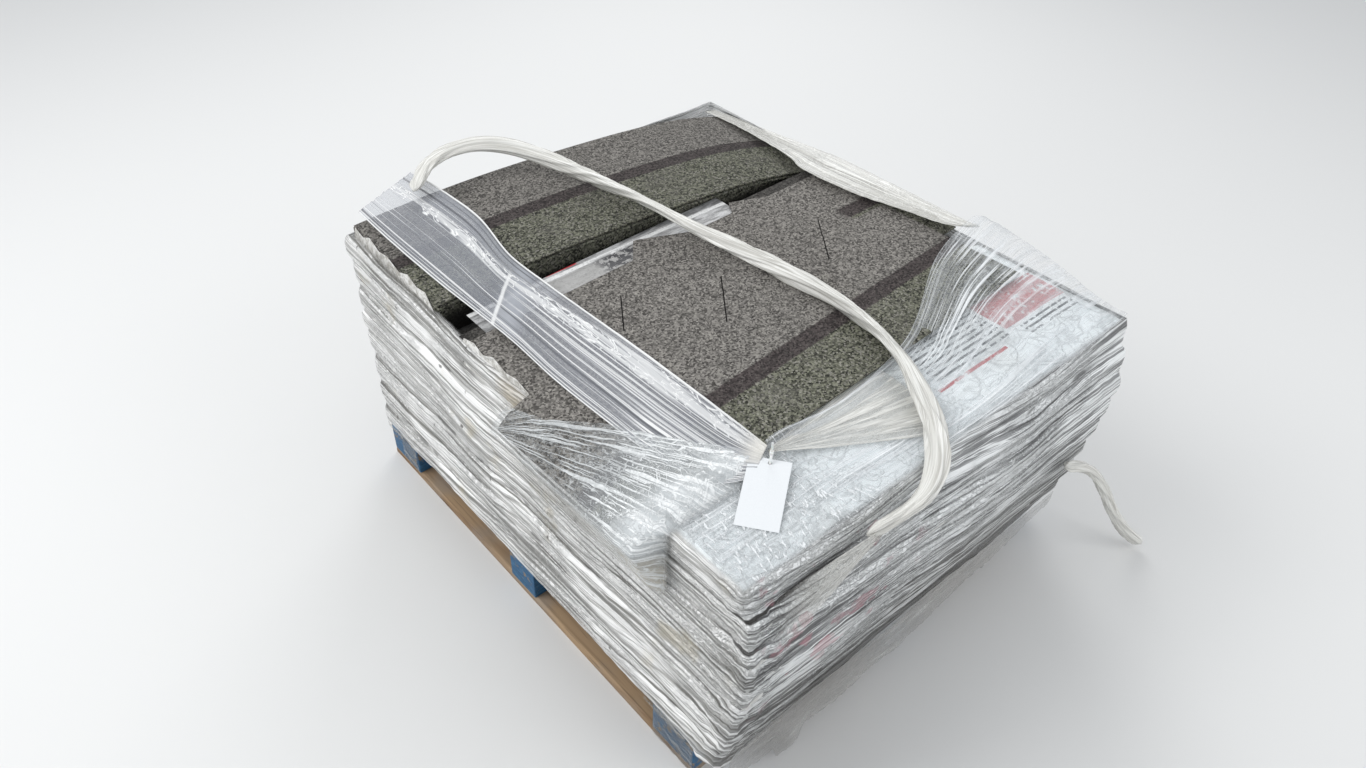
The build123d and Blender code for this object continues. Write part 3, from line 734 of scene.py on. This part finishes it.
def shingle_finish(name, middle, degrees, shadow_band):
    """Granules in three zones across a shingle, or the edges of a stack of them."""
    stone = Finish(name, {"Roughness": 0.93, "Specular IOR Level": 0.25})
    own = {"Location": (0.0, middle, 0.0), "Rotation": (0, 0, math.radians(degrees))}
    own["Vector"] = stone.place()
    place = stone.node("ShaderNodeMapping", {"vector_type": "TEXTURE"}, own)
    _, across, height = place.parts()
    line = across + (place.grain(190.0, 1.0) * 0.005 - 0.0025)
    granule = place.cells(300.0, "Color")
    tone = stone.node("ShaderNodeSeparateColor", {}, {0: granule}, 0) ** 1.4
    pale = stone.node("ShaderNodeSeparateColor", {}, {0: granule}, 1).ease(0.86, 0.9)
    clump = place.grain(120.0, 3.0, 0.7)
    patch = place.grain(9.0, 3.0, 0.6)
    exposure = stone.blend(tone, (0.012, 0.013, 0.009), (0.25, 0.253, 0.19))
    headlap = stone.blend(tone, (0.05, 0.046, 0.042), (0.33, 0.31, 0.285))
    band = stone.blend(tone, (0.02, 0.016, 0.016), (0.1, 0.083, 0.08))
    past_low, past_high = (line.ease(edge - band_edge, edge + band_edge) for edge in shadow_band)
    if name.startswith("loose_shingle_middle_2"):
        covered = stone.place().parts()[0].ease(0.335, 0.305)
        past_low = past_low.either(covered)
        past_high = past_high.either(covered)
    stone.tone = stone.blend(past_high, stone.blend(past_low, exposure, band), headlap)
    stone.paint(pale * 0.5, (0.42, 0.4, 0.36))
    stone.paint(clump.ease(0.52, 0.7) * 0.45, (0.26, 0.25, 0.22))
    stone.paint(clump.ease(0.46, 0.32) * 0.5, (0.022, 0.021, 0.02))
    stone.paint(patch.ease(0.5, 0.75) * 0.25, (0.18, 0.17, 0.155))
    stone.paint(past_low * (1.0 - past_high) * 0.8, band)
    if name.startswith("opened"):
        # The side of an opened stack is painted near black: partly the asphalt's own dark edges and partly
        # painted shade, deeper low on the far stack, with painted shade in the seams between sheets
        seam = (height * 310.0).fraction().ease(0.2, 0.0)
        deep = height.ease(0.602, 0.578) if "far" in name else 0.8
        stone.paint(deep * 0.9, (0.012, 0.011, 0.01))
        stone.paint(seam * deep, (0.004, 0.004, 0.004))
    elif "middle" in name:
        # The lap slits are painted as thin black lines of painted shade in the cuts
        spot = stone.place().parts()
        for start, end in lap_slits:
            stone.paint(stroke(spot, start, end, 0.0012), (0.006, 0.006, 0.006))
    stone.paint(0.24 if "far" in name else 0.11, (0.01, 0.01, 0.01))
    stone.close(place.cells(430.0) * 0.6 + clump, 0.0012, 0.9)
    return stone


middle_turn, far_turn = 1.9, -2.2
slid_pivot, slid_turn, slid_shift = -0.28, 2.1, -0.008
stacks = [
    ("middle", middle_row, middle_turn, (-0.054, -0.018), (-0.028, 0.020, -0.216)),
    ("far", far_row, far_turn, (-0.023, 0.013), (-0.0125, -0.0045, -0.0095)),
]
for stack, row, degrees, shadow_band, shifts in stacks:
    near_edge = row - shingle_width / 2
    sheets = {f"opened_bundle_{stack}": near_edge}
    for number, shift in enumerate(shifts, start=1):
        sheets[f"loose_shingle_{stack}_{number}"] = near_edge + shift
    for node, edge in sheets.items():
        middle, own_turn = edge + shingle_width / 2, degrees
        if node == "loose_shingle_middle_3":
            middle += slid_shift - slid_pivot * math.tan(math.radians(slid_turn))
            own_turn += slid_turn
        dress_node(node, shingle_finish(node + "_granules", middle, own_turn, shadow_band))

# %% [markdown]
# ## The sleeve
# The film sleeve is one grid: across is the way round the load, along is the height. The
# outline of each course is a rounded rectangle, and the film hangs from one course to
# the next, pulled in a little at every joint. Its streaks rise to a peak at the near left
# corner, where the film was pulled tightest and has torn.

# %% Make the sleeve's film
sleeve_radius = 0.007
sleeve_straights = (0.982, 1.160)
sleeve_arc = math.pi / 2 * sleeve_radius
sleeve_way = 2 * sum(sleeve_straights) + 4 * sleeve_arc
left_start = sleeve_straights[0] + sleeve_arc / 2
left_stop = left_start + sleeve_straights[1] + sleeve_arc

film = sleeve_film = clear_film("sleeve_film", 0.3)
uv = film.surface()
u, v, _ = uv.parts()
corner_away = abs(u - left_stop)
corner_pull = corner_away.at_most(0.7)
peak_uv = film.join(u, v + corner_pull * 0.07, 0.0)
steep_uv = film.join(u, v + corner_pull * 0.17, 0.0)
broad = streaks(peak_uv, 1.0, 46.0, 0.1, 0.0)
fine = streaks(peak_uv, 2.0, 135.0, 0.09, 3.0, 0.01)
cross = streaks(steep_uv, 1.9, 105.0, 0.12, 11.0, -0.01)
hair = streaks(peak_uv, 4.5, 330.0, 0.08, 7.0, 0.012)
crumple_zone = u.within(left_stop - 0.03, left_stop + 0.36, 0.05) * v.ease(0.28, 0.38)
crumple_patch = uv.grain(5.0, 2.0).ease(0.42, 0.58).either(crumple_zone)
crumple_space = uv.stretch((1.0, 1.7, 1.0))
crumple = ridges(crumple_space, 40.0, 0.045).either(ridges(crumple_space, 90.0, 0.045) * 0.8)
crumple = crumple * crumple_patch
# bright holds painted highlights on the streaks and creases, partly milky film; shade holds painted shade
# in the lines between
bright = fine.ease(0.49, 0.56).either(cross.ease(0.53, 0.59) * 0.95)
bright = bright.either(hair.ease(0.52, 0.59) * 0.9).either(crumple)
left_share = u.ease(left_start - 0.02, left_start + 0.02) * u.ease(left_stop + 0.03, left_stop - 0.03)
other_share = 1.0 - left_share
shade = fine.ease(0.455, 0.38).either(broad.ease(0.41, 0.31) * (left_share * 0.45 + 0.35))
shade = shade.either(cross.ease(0.40, 0.33) * 0.8).either(hair.ease(0.41, 0.34) * 0.8)
# The left face gets lighter tints and the other faces darker ones, as painted light and shade
white_film = film.blend(left_share, (0.93, 0.945, 0.945), (0.985, 0.98, 0.965))
plain_film = film.blend(left_share, (0.46, 0.47, 0.48), (0.76, 0.755, 0.73))
dark_film = film.blend(left_share, (0.06, 0.06, 0.062), (0.17, 0.165, 0.15))
film.tone = film.blend(bright, plain_film, white_film)
film.paint(shade * 0.92, dark_film)

# %% Stain, shade and tear the sleeve's film
# Dust lies on the left side, and painted shade darkens the other faces towards the bottom.
# The film has split at the joints between courses, above all near the corner, and the
# gaps are filled with painted shade; printed paper shows pink through it.
stain = uv.grain(6.3, 3.0, 0.6).ease(0.6, 0.72)
film.paint(stain * left_share * 0.45, (0.55, 0.47, 0.3))
# Painted shade darkens the faces other than the left towards the bottom, most at the bottom of the near
# face
low_face_shade = (v + broad * 0.12).ease(0.36, 0.08) * other_share * (0.93 - bright * 0.45)
film.paint(low_face_shade, (0.085, 0.08, 0.07))
near_share = u.within(left_stop + 0.16, left_stop + 1.0, 0.08)
bottom_shade = (v + fine * 0.05).ease(0.125, 0.055) * near_share
film.paint(bottom_shade * 0.8, (0.04, 0.038, 0.034))
torn_noise = uv.stretch((11.0, 26.0, 1.0)).grain(1.0, 3.0, 0.6)
from_joint = abs(((v - 0.002) / course_height).fraction() - 0.5) + torn_noise * 0.1 - 0.05
joint = from_joint.ease(0.41, 0.46) * v.ease(0.461, 0.455)
upper = v.ease(0.32, 0.36) * 0.8 + 0.2
at_corner = (corner_away + torn_noise * 0.08).ease(0.15, 0.05) * upper
top_crack = (corner_away + torn_noise * 0.12).ease(0.33, 0.14) * other_share
top_crack = top_crack * v.within(0.385, 0.425, 0.006)
# Painted shade fills the gaps at the joints, near the corner and along a crack below the top
gap = joint * (torn_noise.ease(0.54, 0.64) * 0.6).either(at_corner).either(top_crack)
film.paint(gap, (0.03, 0.028, 0.026))
specks = uv.grain(34.0, 2.0).ease(0.71, 0.75) * left_share
film.paint(specks * 0.8, (0.06, 0.055, 0.05))
pink = uv.stretch((13.0, 17.0, 1.0)).grain(1.0, 3.0, 0.6).ease(0.58, 0.63)
pink = pink * u.within(left_stop + 0.02, left_stop + 0.38, 0.03) * (1.0 - bright * 0.45)
film.paint(pink * v.ease(0.12, 0.2) * 0.7, (0.58, 0.26, 0.31))
ochre = u.within(left_start + 0.57, left_start + 0.76, 0.03) * v.within(0.37, 0.46, 0.03)
film.paint(ochre * torn_noise.ease(0.36, 0.56) * 0.65, (0.42, 0.33, 0.19))
sleeve_alpha = 0.52 + (bright * 0.46).either(shade * 0.42).either(gap * 0.47)
film.feed("Alpha", sleeve_alpha * (v + torn_noise * 0.012).ease(0.481, 0.466))
sleeve_height = broad * 0.3 + fine * 0.5 + cross * 0.45 + hair * 0.3 + crumple * 0.35
film.close(sleeve_height, 0.010, 0.9)

# %% Wrap the sleeve
sleeve_bottom, sleeve_rim = deck_top - 0.002, load_top - 0.002
sleeve_turnover = 0.016
sleeve_cells, sleeve_drop = (560, 150), 0.478
sleeve_joints = [(left, left + bundle_length, near, far) for left, near, far in course_places]


def facing(angle):
    return Vector((math.cos(angle), math.sin(angle), 0))


def outline_point(box, share):
    """Gives the place and the outward direction at a share of the way round a box."""
    low_x, high_x, low_y, high_y = (
        edge + sleeve_radius * inwards for edge, inwards in zip(box, (1, -1, 1, -1))
    )
    inner = [(high_x, high_y), (low_x, high_y), (low_x, low_y), (high_x, low_y)]
    way = (share % 1.0) * sleeve_way
    for side in range(4):
        run = sleeve_straights[side % 2]
        angle = math.pi / 2 * (side + 1)
        start, end = Vector((*inner[side], 0)), Vector((*inner[(side + 1) % 4], 0))
        if way <= run:
            return start.lerp(end, way / run) + facing(angle) * sleeve_radius, facing(angle)
        way -= run
        if way <= sleeve_arc:
            out = facing(angle + math.pi / 2 * way / sleeve_arc)
            return end + out * sleeve_radius, out
        way -= sleeve_arc
    raise ValueError(share)


def sleeve_place(across, along):
    rise = mix(sleeve_bottom, sleeve_rim + sleeve_turnover, along)
    height = min(rise, sleeve_rim)
    level = (height - deck_top) / course_height - 0.5
    low = min(max(math.floor(level), 0), len(sleeve_joints) - 2)
    share = ease(level - low, 0.12, 0.88)
    box = [mix(a, b, share) for a, b in zip(sleeve_joints[low], sleeve_joints[low + 1])]
    point, out = outline_point(box, across)
    joint = abs(level - round(level)) * 2
    way = across * sleeve_way
    corner_way = abs(way - left_stop)
    corner = ease(0.10 - corner_way, 0.0, 0.075)
    smoothed = 0.9 * corner * ease(0.475 - height, 0.0, 0.03)
    pinch = 0.0072 * ease(joint, 0.4, 1.0) * (0.75 + 0.5 * ripple(way * 5, height * 8, 6))
    pinch *= 1 - smoothed
    pinch += corner * (0.006 * ripple(way * 30, height * 42, 12) + 0.003 * ripple(way * 90, height * 90, 3))
    drawn = height + 0.012 * ripple(way * 1.3, height * 3, 4) + 0.07 * min(corner_way, 0.7)
    deep = mix(1.0, 0.6, ease(way, left_stop + 0.25, left_stop + 0.5))
    pleats = 0.0018 * abs(ripple(way * 2.8, drawn * 90)) + 0.001 * ripple(way * 5, drawn * 190)
    pleats *= deep
    swell = 0.0024 * ripple(way * 6, height * 14, 2) + 0.0013 * ripple(way * 40, height * 60, 9)
    point = point + out * (0.0024 - pinch + pleats + swell)
    point.z = height
    if rise > sleeve_rim:
        over = (rise - sleeve_rim) / sleeve_turnover
        point -= out * 0.014 * over
        point.z += 0.003 * math.sin(over * math.pi / 2)
    return point


sleeve_bm = sheet_grid(sleeve_cells, (sleeve_way, sleeve_drop), sleeve_place)
bmesh.ops.remove_doubles(sleeve_bm, verts=sleeve_bm.verts, dist=seam_gap / 2)
bmesh.ops.recalc_face_normals(sleeve_bm, faces=sleeve_bm.faces)
sleeve = make_piece("sleeve_of_film", sleeve_bm, sleeve_film, ("film_sleeve",))


# %% [markdown]
# ## Film on top of the load
# The hood is folded over the near bundle, and at the far right the film was pulled up
# into a tent. Each sheet lies between an outer and an inner edge, and its pleats run
# along it.

# %% Lay a sheet between two edges
def edge_sheet(name, edges, cells, pleat, finish, replaced, flat):
    """Lays a pleated sheet between two smooth edges."""
    depth, count, crumple, seed = pleat

    def place(across, along):
        low, high = follow(edges[0], across), follow(edges[1], across)
        point = low.lerp(high, along)
        rim = 0.4 + 0.6 * min(along, 1 - along, 0.12) / 0.12
        way = across * flat[0]
        point.z += depth * rim * ripple(way * 1.6, along * count, seed)
        point.z += depth * 0.5 * rim * ripple(way * 3, along * count * 2.3, seed + 2)
        point.z += crumple * ripple(way * 34, along * flat[1] * 46, seed)
        point.z += crumple * 0.6 * ripple(way * 80, along * flat[1] * 110, seed + 4)
        return point

    piece = film_sheet(name, cells, flat, place, finish, replaced)


# %% Lay the hood and the tent
hood_outer = metres([
    (-508, -606, 606), (-340, -612, 607), (-100, -613, 607),
    (150, -613, 607), (380, -613, 607), (486, -606, 606),
])
hood_inner = metres([
    (-500, -432, 608.5), (-330, -432, 609), (-268, -425, 622), (-120, -440, 624),
    (90, -400, 625), (300, -292, 634), (440, -262, 641), (468, -275, 641),
])
tag_centre = (-0.366, -0.500)


def hood_place(across, along):
    """Puts a point of the grid on the hood: flat on the bundle, then up to its edge."""
    low, high = follow(hood_outer, across), follow(hood_inner, across)
    point = low.lerp(high, along)
    rise = high.z - load_top
    foot = 0.86 if high.y < -0.38 else 0.2
    tent = 0.66 * max(rise, 0.0) * ease(along, 0.05, 0.5) * ease(across, 0.55, 0.95)
    point.z = mix(low.z, high.z, ease(along, foot, 1.0)) + tent
    pull = ripple(across * 5 + along * 2, along * 22, 8)
    from_tag = math.hypot(point.x - tag_centre[0], point.y - tag_centre[1])
    free = ease(from_tag, 0.075, 0.12)
    point.z += 0.0012 + 0.0026 * abs(pull) * (0.3 + along) * free
    point.z += 0.0011 * ripple(across * 60, along * 16, 3) * free
    return point


hood = film_sheet("hood_of_film", (220, 56), (1.0, 0.24), hood_place, hood_film, ("film_hood",))

# %% Make the band's film
# The band is taut, so its lines run straight from end to end. A white crumpled ribbon
# lies along its inner side, and a bright cord-like hem along its outer one.
band_width = 0.165
film = band_film = clear_film("band_film", 0.28)
uv = film.surface()
u, v, _ = uv.parts()
lines = streaks(uv, 0.5, 95.0, 0.012, 2.0)
hairs = streaks(uv, 0.7, 260.0, 0.008, 5.0)
folds = streaks(uv, 3.0, 70.0, 0.06, 9.0)
ribbon_middle = 0.106 + u.ease(0.0, 1.0) * 0.034
ribbon_half = 0.014 + u.ease(0.35, 0.8) * 0.009
ribbon = (abs(v - ribbon_middle) / ribbon_half).ease(1.15, 0.75)
ribbon_creases = ridges(uv.stretch((0.5, 1.6, 1.0)), 40.0, 0.05)
ribbon_white = ribbon * (folds.ease(0.42, 0.56) * 0.7).either(ribbon_creases)
hem = v.within(0.0, 0.0028, 0.0012).either(v.within(0.0062, 0.0082, 0.0012))
hem = hem.either(v.within(band_width - 0.004, band_width + 0.01, 0.0015))
slant = u + v * 0.2
strip_line = slant.within(0.402, 0.412, 0.003) * v.ease(0.14, 0.12)
strip_area = slant.within(0.412, 0.47, 0.03) * 0.3
lens = (v - ribbon_middle).ease(0.0, 0.01) * u.ease(0.45, 0.38) * 0.25
more_hairs = (hairs + u.ease(0.3, 0.7) * 0.07).ease(0.62, 0.68) * 0.8
strings = hairs.ease(0.49, 0.55) * u.ease(0.7, 0.8) * v.ease(0.1, 0.05)
# The white lines are partly milky film and partly painted highlights; the dark lines are painted shade
white_lines = (lines.ease(0.59, 0.64) * 0.8).either(more_hairs).either(strings)
band_white = ribbon_white.either(hem).either(strip_line * 0.8).either(white_lines)
band_dark = lines.ease(0.43, 0.39) * (1.0 - ribbon)
knotted = u.ease(0.955, 1.03) * v.ease(0.05, 0.1)
band_body = film.blend(band_dark * 0.8, (0.44, 0.46, 0.5), (0.1, 0.105, 0.12))
film.tone = film.blend(band_white, band_body, (0.87, 0.87, 0.86))
film.paint(knotted * 0.75, (0.78, 0.755, 0.69))
band_seen = (band_white * 0.58).either(band_dark * 0.36).either(strip_area).either(lens * 0.4)
film.feed("Alpha", 0.28 + band_seen.either(knotted * 0.6))
film.close(lines * 0.5 + hairs * 0.3 + folds * ribbon, 0.004, 0.7)

# %% Lay the band
band_outer = metres([
    (-481, 532, 650), (-480, 410, 643), (-472, 250, 632), (-464, 140, 627), (-458, 21, 623),
    (-460, -99, 621), (-455, -227, 620), (-448, -330, 620), (-420, -430, 616), (-360, -468, 615),
])
band_inner = metres([
    (-350, 542, 690), (-320, 449, 668), (-312, 350, 658), (-330, 223, 648), (-324, 120, 640),
    (-314, 10, 633), (-305, -120, 629), (-301, -250, 628), (-300, -370, 628), (-300, -440, 627),
])
edge_sheet(
    "band_of_film",
    (band_outer, band_inner),
    (150, 110),
    (0.0024, 16, 0.0004, 5.0),
    band_film,
    ("film_band",),
    (1.06, band_width),
)

# %% Spread the film from the knot
# Past its knot the band opens again into a cream fan, which lies on the hood and runs
# under the rope. Across is the way from the knot, and along is the angle.
fan_film = film_finish("fan_film", (5.0, 90.0, 0.02), (0.2, 0.92), ivory, 0.0, 0.2)
fan_knot = Vector((-0.306, -0.444, 0.6145))
fan_reach = 0.30


def fan_place(across, along):
    reach = mix(0.004, fan_reach, across)
    angle = math.radians(mix(-30, 12, along))
    lift = 0.0065 * ease(reach, 0.12, 0.0) + 0.0012 * ripple(along * 26, reach * 8, 3)
    x = fan_knot.x + reach * math.cos(angle)
    y = fan_knot.y + reach * math.sin(angle)
    return Vector((x, y, load_top + 0.0058 + lift))


fan_sheet = film_sheet("fan_of_film", (60, 60), (fan_reach, 0.1), fan_place, fan_film)

# %% Spread the rope's end over the near side
spread_knot = Vector((-0.235, -0.6500, 0.590))
spread_reach = 0.27
spread_film = film_finish(
    "spread_film", (4.0, 70.0, 0.03), (0.2, 0.95), ivory, 0.5, 0.3, fade=(0.1, 0.27)
)


def spread_place(across, along):
    """Puts a point of the grid on the film that runs down and left from the rope's end."""
    reach = mix(0.0, spread_reach, across)
    angle = math.radians(mix(-5, 27, along))
    x = spread_knot.x - reach * math.cos(angle)
    z = spread_knot.z - reach * math.sin(angle)
    rest = mix(-0.6480, -0.6520, ease(z, 0.60, 0.50))
    y = mix(spread_knot.y, rest, ease(reach, 0.0, 0.12)) + 0.0012 * ripple(along * 30, reach * 8, 4)
    return Vector((x, y, z))


spread_sheet = film_sheet("spread_of_film", (60, 50), (spread_reach, 0.12), spread_place, spread_film)

# %% [markdown]
# ## The film over the slid shingle
# One loose shingle has slid out over the near left corner, and clear film is pulled over
# it and tucked back under. Its creases fan out from the far left corner. The sheet
# starts at a slanting edge on the shingle, follows it over the drooping end, and runs
# back to the side of the load as a small tent.

# %% Make the film over the slid shingle
# It is clear over the shingle and whiter further from the corner where the creases meet.
# The white is partly painted highlight, and low down it is painted brownish grey as shadow.
film = corner_film = clear_film("corner_film", 0.28)
uv = film.surface()
_, y, z = film.place().parts()
broad = streaks(uv, 4.0, 42.0, 0.05, 1.0)
fine = streaks(uv, 6.0, 110.0, 0.08, 4.0)
hairs = streaks(uv, 9.0, 230.0, 0.05, 8.0)
creases = ridges(uv, 36.0, 0.04).either(ridges(uv, 80.0, 0.05) * 0.7)
whiter = uv.parts()[0].ease(0.17, 0.34)
white = fine.ease(0.56, 0.6).either(broad.ease(0.6, 0.65))
white = white.either(hairs.ease(0.56, 0.62) * (whiter * 0.7 + 0.3)) * (whiter * 0.4 + 0.6)
white = white.either(creases * (whiter * 0.7 + 0.25))
# Below the shingle's end the film is painted brownish grey and more opaque as painted shadow
shadow_below = z.ease(0.575, 0.545)
corner_body = film.blend(shadow_below, (0.62, 0.65, 0.66), (0.56, 0.53, 0.46))
film.tone = film.blend(white, corner_body, (0.9, 0.92, 0.92))
seen = 0.01 + (white * 0.9).either(shadow_below * (whiter * 0.3 + 0.1)).either(whiter * 0.3)
closing = y.ease(-0.36, -0.42) * 0.85
seen = seen.either(closing * (broad.ease(0.3, 0.56) * 0.4 + 0.6))
film.feed("Alpha", seen * (y.ease(-0.472, -0.452) * z.ease(0.442, 0.5)))
film.close(broad * 0.5 + fine * 0.3 + creases * 0.4, 0.006, 0.6)

# %% Lay the film over the slid shingle
slid_row = -0.2515
corner_far, corner_near = 0.176, -0.222
shingle_end = -0.170
corner_start = [
    (-0.435, -0.318), (-0.362, -0.369), (-0.282, -0.424),
    (-0.224, -0.458), (-0.151, -0.522), (-0.070, -0.548),
]
corner_profile = [
    Vector((x / 1000, top_course_bottom + rise / 1000))
    for x, rise in [
        (-300, 73.5), (-441, 72.0), (-492, 71.2), (-512, 70.0), (-536, 63.8),
        (-558, 52.2), (-576, 36.8), (-581, 25.0), (-561, -28.0), (-533, -106.0),
    ]
]
corner_runs = run_lengths(corner_profile)


def corner_point(across, along):
    """Gives the place on the shingle's own sides and the way down its profile."""
    side = mix(corner_far, corner_near, across)
    first = straight(corner_start, slid_row + side)
    way = mix(abs(first - corner_profile[0].x), sum(corner_runs), along)
    left = way
    for index, run in enumerate(corner_runs):
        if left <= run:
            break
        left -= run
    spot = corner_profile[index].lerp(corner_profile[index + 1], min(left / run, 1.0))
    return side, way, spot


def corner_place(across, along):
    side, way, spot = corner_point(across, along)
    lean = math.radians(middle_turn)
    x = spot.x * math.cos(lean) - side * math.sin(lean)
    y = spot.x * math.sin(lean) + side * math.cos(lean) + slid_row
    z = spot.y + 0.004 * abs(ripple(side * 38, way * 20, 2)) + 0.002 * abs(ripple(side * 90, way * 70, 5))
    x -= 0.002 * abs(ripple(side * 40, way * 30, 7)) * ease(-spot.x, 0.53, 0.57)
    past_end = ease(shingle_end - side, 0.0, 0.026)
    if spot.x > -0.512:
        z = mix(z, load_top + 0.0045, past_end)
    else:
        x = mix(x, max(x, -0.5255), past_end)
        z = mix(z, min(z, load_top), past_end)
    return Vector((x, y, z))


def corner_chart(across, along):
    """Fans the streaks out from the far left corner, with U the way from there."""
    side, way, _ = corner_point(across, along)
    aside, ahead = 0.30 - way, corner_far + 0.02 - side
    return (math.hypot(ahead, aside), math.atan2(aside, ahead) % (2 * math.pi) * 0.35)


corner_sheet = film_sheet(
    "corner_sheet_of_film",
    (130, 110),
    (0.35, 0.3),
    corner_place,
    corner_film,
    ("film_corner_sheet",),
    corner_chart,
)

# %% Gather the edge band along the right edge
edge_outer = metres([
    (480, 532, 584), (482, 431, 594), (483, 300, 606), (494, 190, 611), (496, 128, 616),
    (493, 0, 620), (489, -100, 624), (482, -218, 630), (470, -272, 640),
])
edge_inner = metres([
    (446, 528, 592), (440, 431, 600), (424, 300, 610), (396, 190, 624), (372, 128, 630),
    (378, 0, 632), (400, -100, 634), (420, -218, 640), (452, -268, 644),
])
edge_sheet(
    "edge_band_of_film",
    (edge_outer, edge_inner),
    (150, 60),
    (0.0045, 7, 0.0012, 3.0),
    edge_film,
    ("film_edge_band",),
    (0.82, 0.08),
)

# %% [markdown]
# ## Film that hangs below the load
# The skirt and the two flaps hang from the sleeve in front of the pallet, in darker film,
# torn along their hems.

# %% Hang the skirt and the flaps
skirt_left, skirt_right = -0.500, 0.455
skirt_hem = [
    (skirt_left, 0.062), (-0.385, 0.050), (-0.372, 0.008), (-0.318, 0.006), (-0.300, 0.046),
    (-0.207, 0.042), (-0.030, 0.038), (0.104, 0.066), (0.286, 0.082), (skirt_right, 0.118),
]
hang_from = deck_top + 0.006


def skirt_place(across, along):
    x = mix(skirt_left, skirt_right, across)
    hem = straight(skirt_hem, x) + 0.006 * ripple(x * 60, 2) + 0.004 * ripple(x * 170, 5)
    z = mix(hang_from, max(hem, 0.004), along)
    swing = 0.004 * ripple(x * 22, z * 9, 1) + 0.0025 * ripple(x * 60, z * 30, 6)
    return Vector((x, -0.6095 + swing * ease(along, 0.0, 0.4), z))


skirt = film_sheet("skirt_of_film", (220, 22), (0.955, 0.09), skirt_place, skirt_film, ("film_skirt",))


def hang_flap(name, near_y, far_y, hem, seed):
    """Hangs a flap in front of a left corner block."""

    def place(across, along):
        y = mix(near_y, far_y, across)
        z = mix(hang_from, hem + 0.006 * ripple(y * 60, seed), along)
        lean = ease(deck_top - z, 0.0, 0.05)
        x = mix(-0.5325, -0.5105, lean) + 0.0016 * ripple(y * 50, z * 30, seed)
        return Vector((x, y, z))

    width, drop = abs(far_y - near_y), deck_top - hem
    flap = film_sheet(name + "_film", (40, 44), (width, drop), place, skirt_film, (name,))


hang_flap("film_flap_near", -0.532, -0.424, 0.004, 3.0)
hang_flap("film_flap_far", 0.420, 0.484, 0.020, 6.0)

# %% [markdown]
# ## Torn wrapper, tag and tie
# The opened bundles keep a crumpled rim of their paper. The lot tag is plain white card
# on a white cable tie.

# %% Finish the torn wrapper, the tag and the tie
# The strip between the opened bundles is silver, with a white edge, a bare patch, dark
# blotches and a red scrap, each masked by its place.
torn = Finish("torn_wrapper_paper", {"Roughness": 0.55})
fold = torn.place().grain(60.0, 4.0, 0.65, 1.0)
torn.tone = torn.blend(fold.ease(0.35, 0.6), (0.5, 0.48, 0.44), (0.84, 0.83, 0.8))
# Its creases are darkened with painted shade
torn.paint(ridges(torn.place(), 40.0, 0.04) * 0.5, (0.25, 0.24, 0.22))
torn.close(fold, 0.006, 0.8)

silver = Finish("silver_wrapper", {"Roughness": 0.42})
place = silver.place()
x, y, _ = place.parts()
fold = place.stretch((20.0, 90.0, 60.0)).grain(1.0, 4.0, 0.6, 0.6)
grit = place.grain(240.0, 3.0, 0.7)
silver.tone = silver.blend(fold.ease(0.36, 0.62), (0.19, 0.19, 0.19), (0.5, 0.5, 0.5))
silver.paint(y.within(0.148, 0.158, 0.0015), (0.75, 0.75, 0.74))
bare = x.within(-0.30, -0.075, 0.003) * y.within(0.1, 0.146, 0.003)
silver.paint(bare * 0.85, (0.33, 0.325, 0.315))
blotch = place.grain(62.0, 4.0, 0.7).ease(0.45, 0.5)
blotch = blotch * x.within(-0.19, -0.09, 0.02) * y.within(0.1, 0.15, 0.008)
silver.paint(blotch, (0.025, 0.025, 0.03))
silver.paint(x.within(-0.292, -0.220, 0.004) * y.within(0.163, 0.169), (0.45, 0.02, 0.03))
silver.paint(grit.ease(0.5, 0.3) * 0.4, (0.06, 0.06, 0.06))
silver.close(fold + grit * 0.2, 0.004, 0.7)

card = Finish("tag_card_finish", {"Roughness": 0.65})
fibre = card.place().grain(500.0, 2.0)
card.tone = card.blend(fibre, (0.71, 0.73, 0.75), (0.79, 0.81, 0.82))
card.close(fibre, 0.0002, 0.4)
nylon = Finish("white_nylon", {"Roughness": 0.35, "Subsurface Weight": 0.1})
mould = nylon.place().grain(240.0, 2.0)
nylon.feed("Base Color", nylon.blend(mould, (0.78, 0.78, 0.76), (0.86, 0.86, 0.84)))
for node, finish in {
    "wrapper_strip": silver,
    "torn_wrapper_middle": torn,
    "torn_wrapper_far": torn,
    "lot_tag": card,
    "tag_tie": nylon,
}.items():
    dress_node(node, finish)
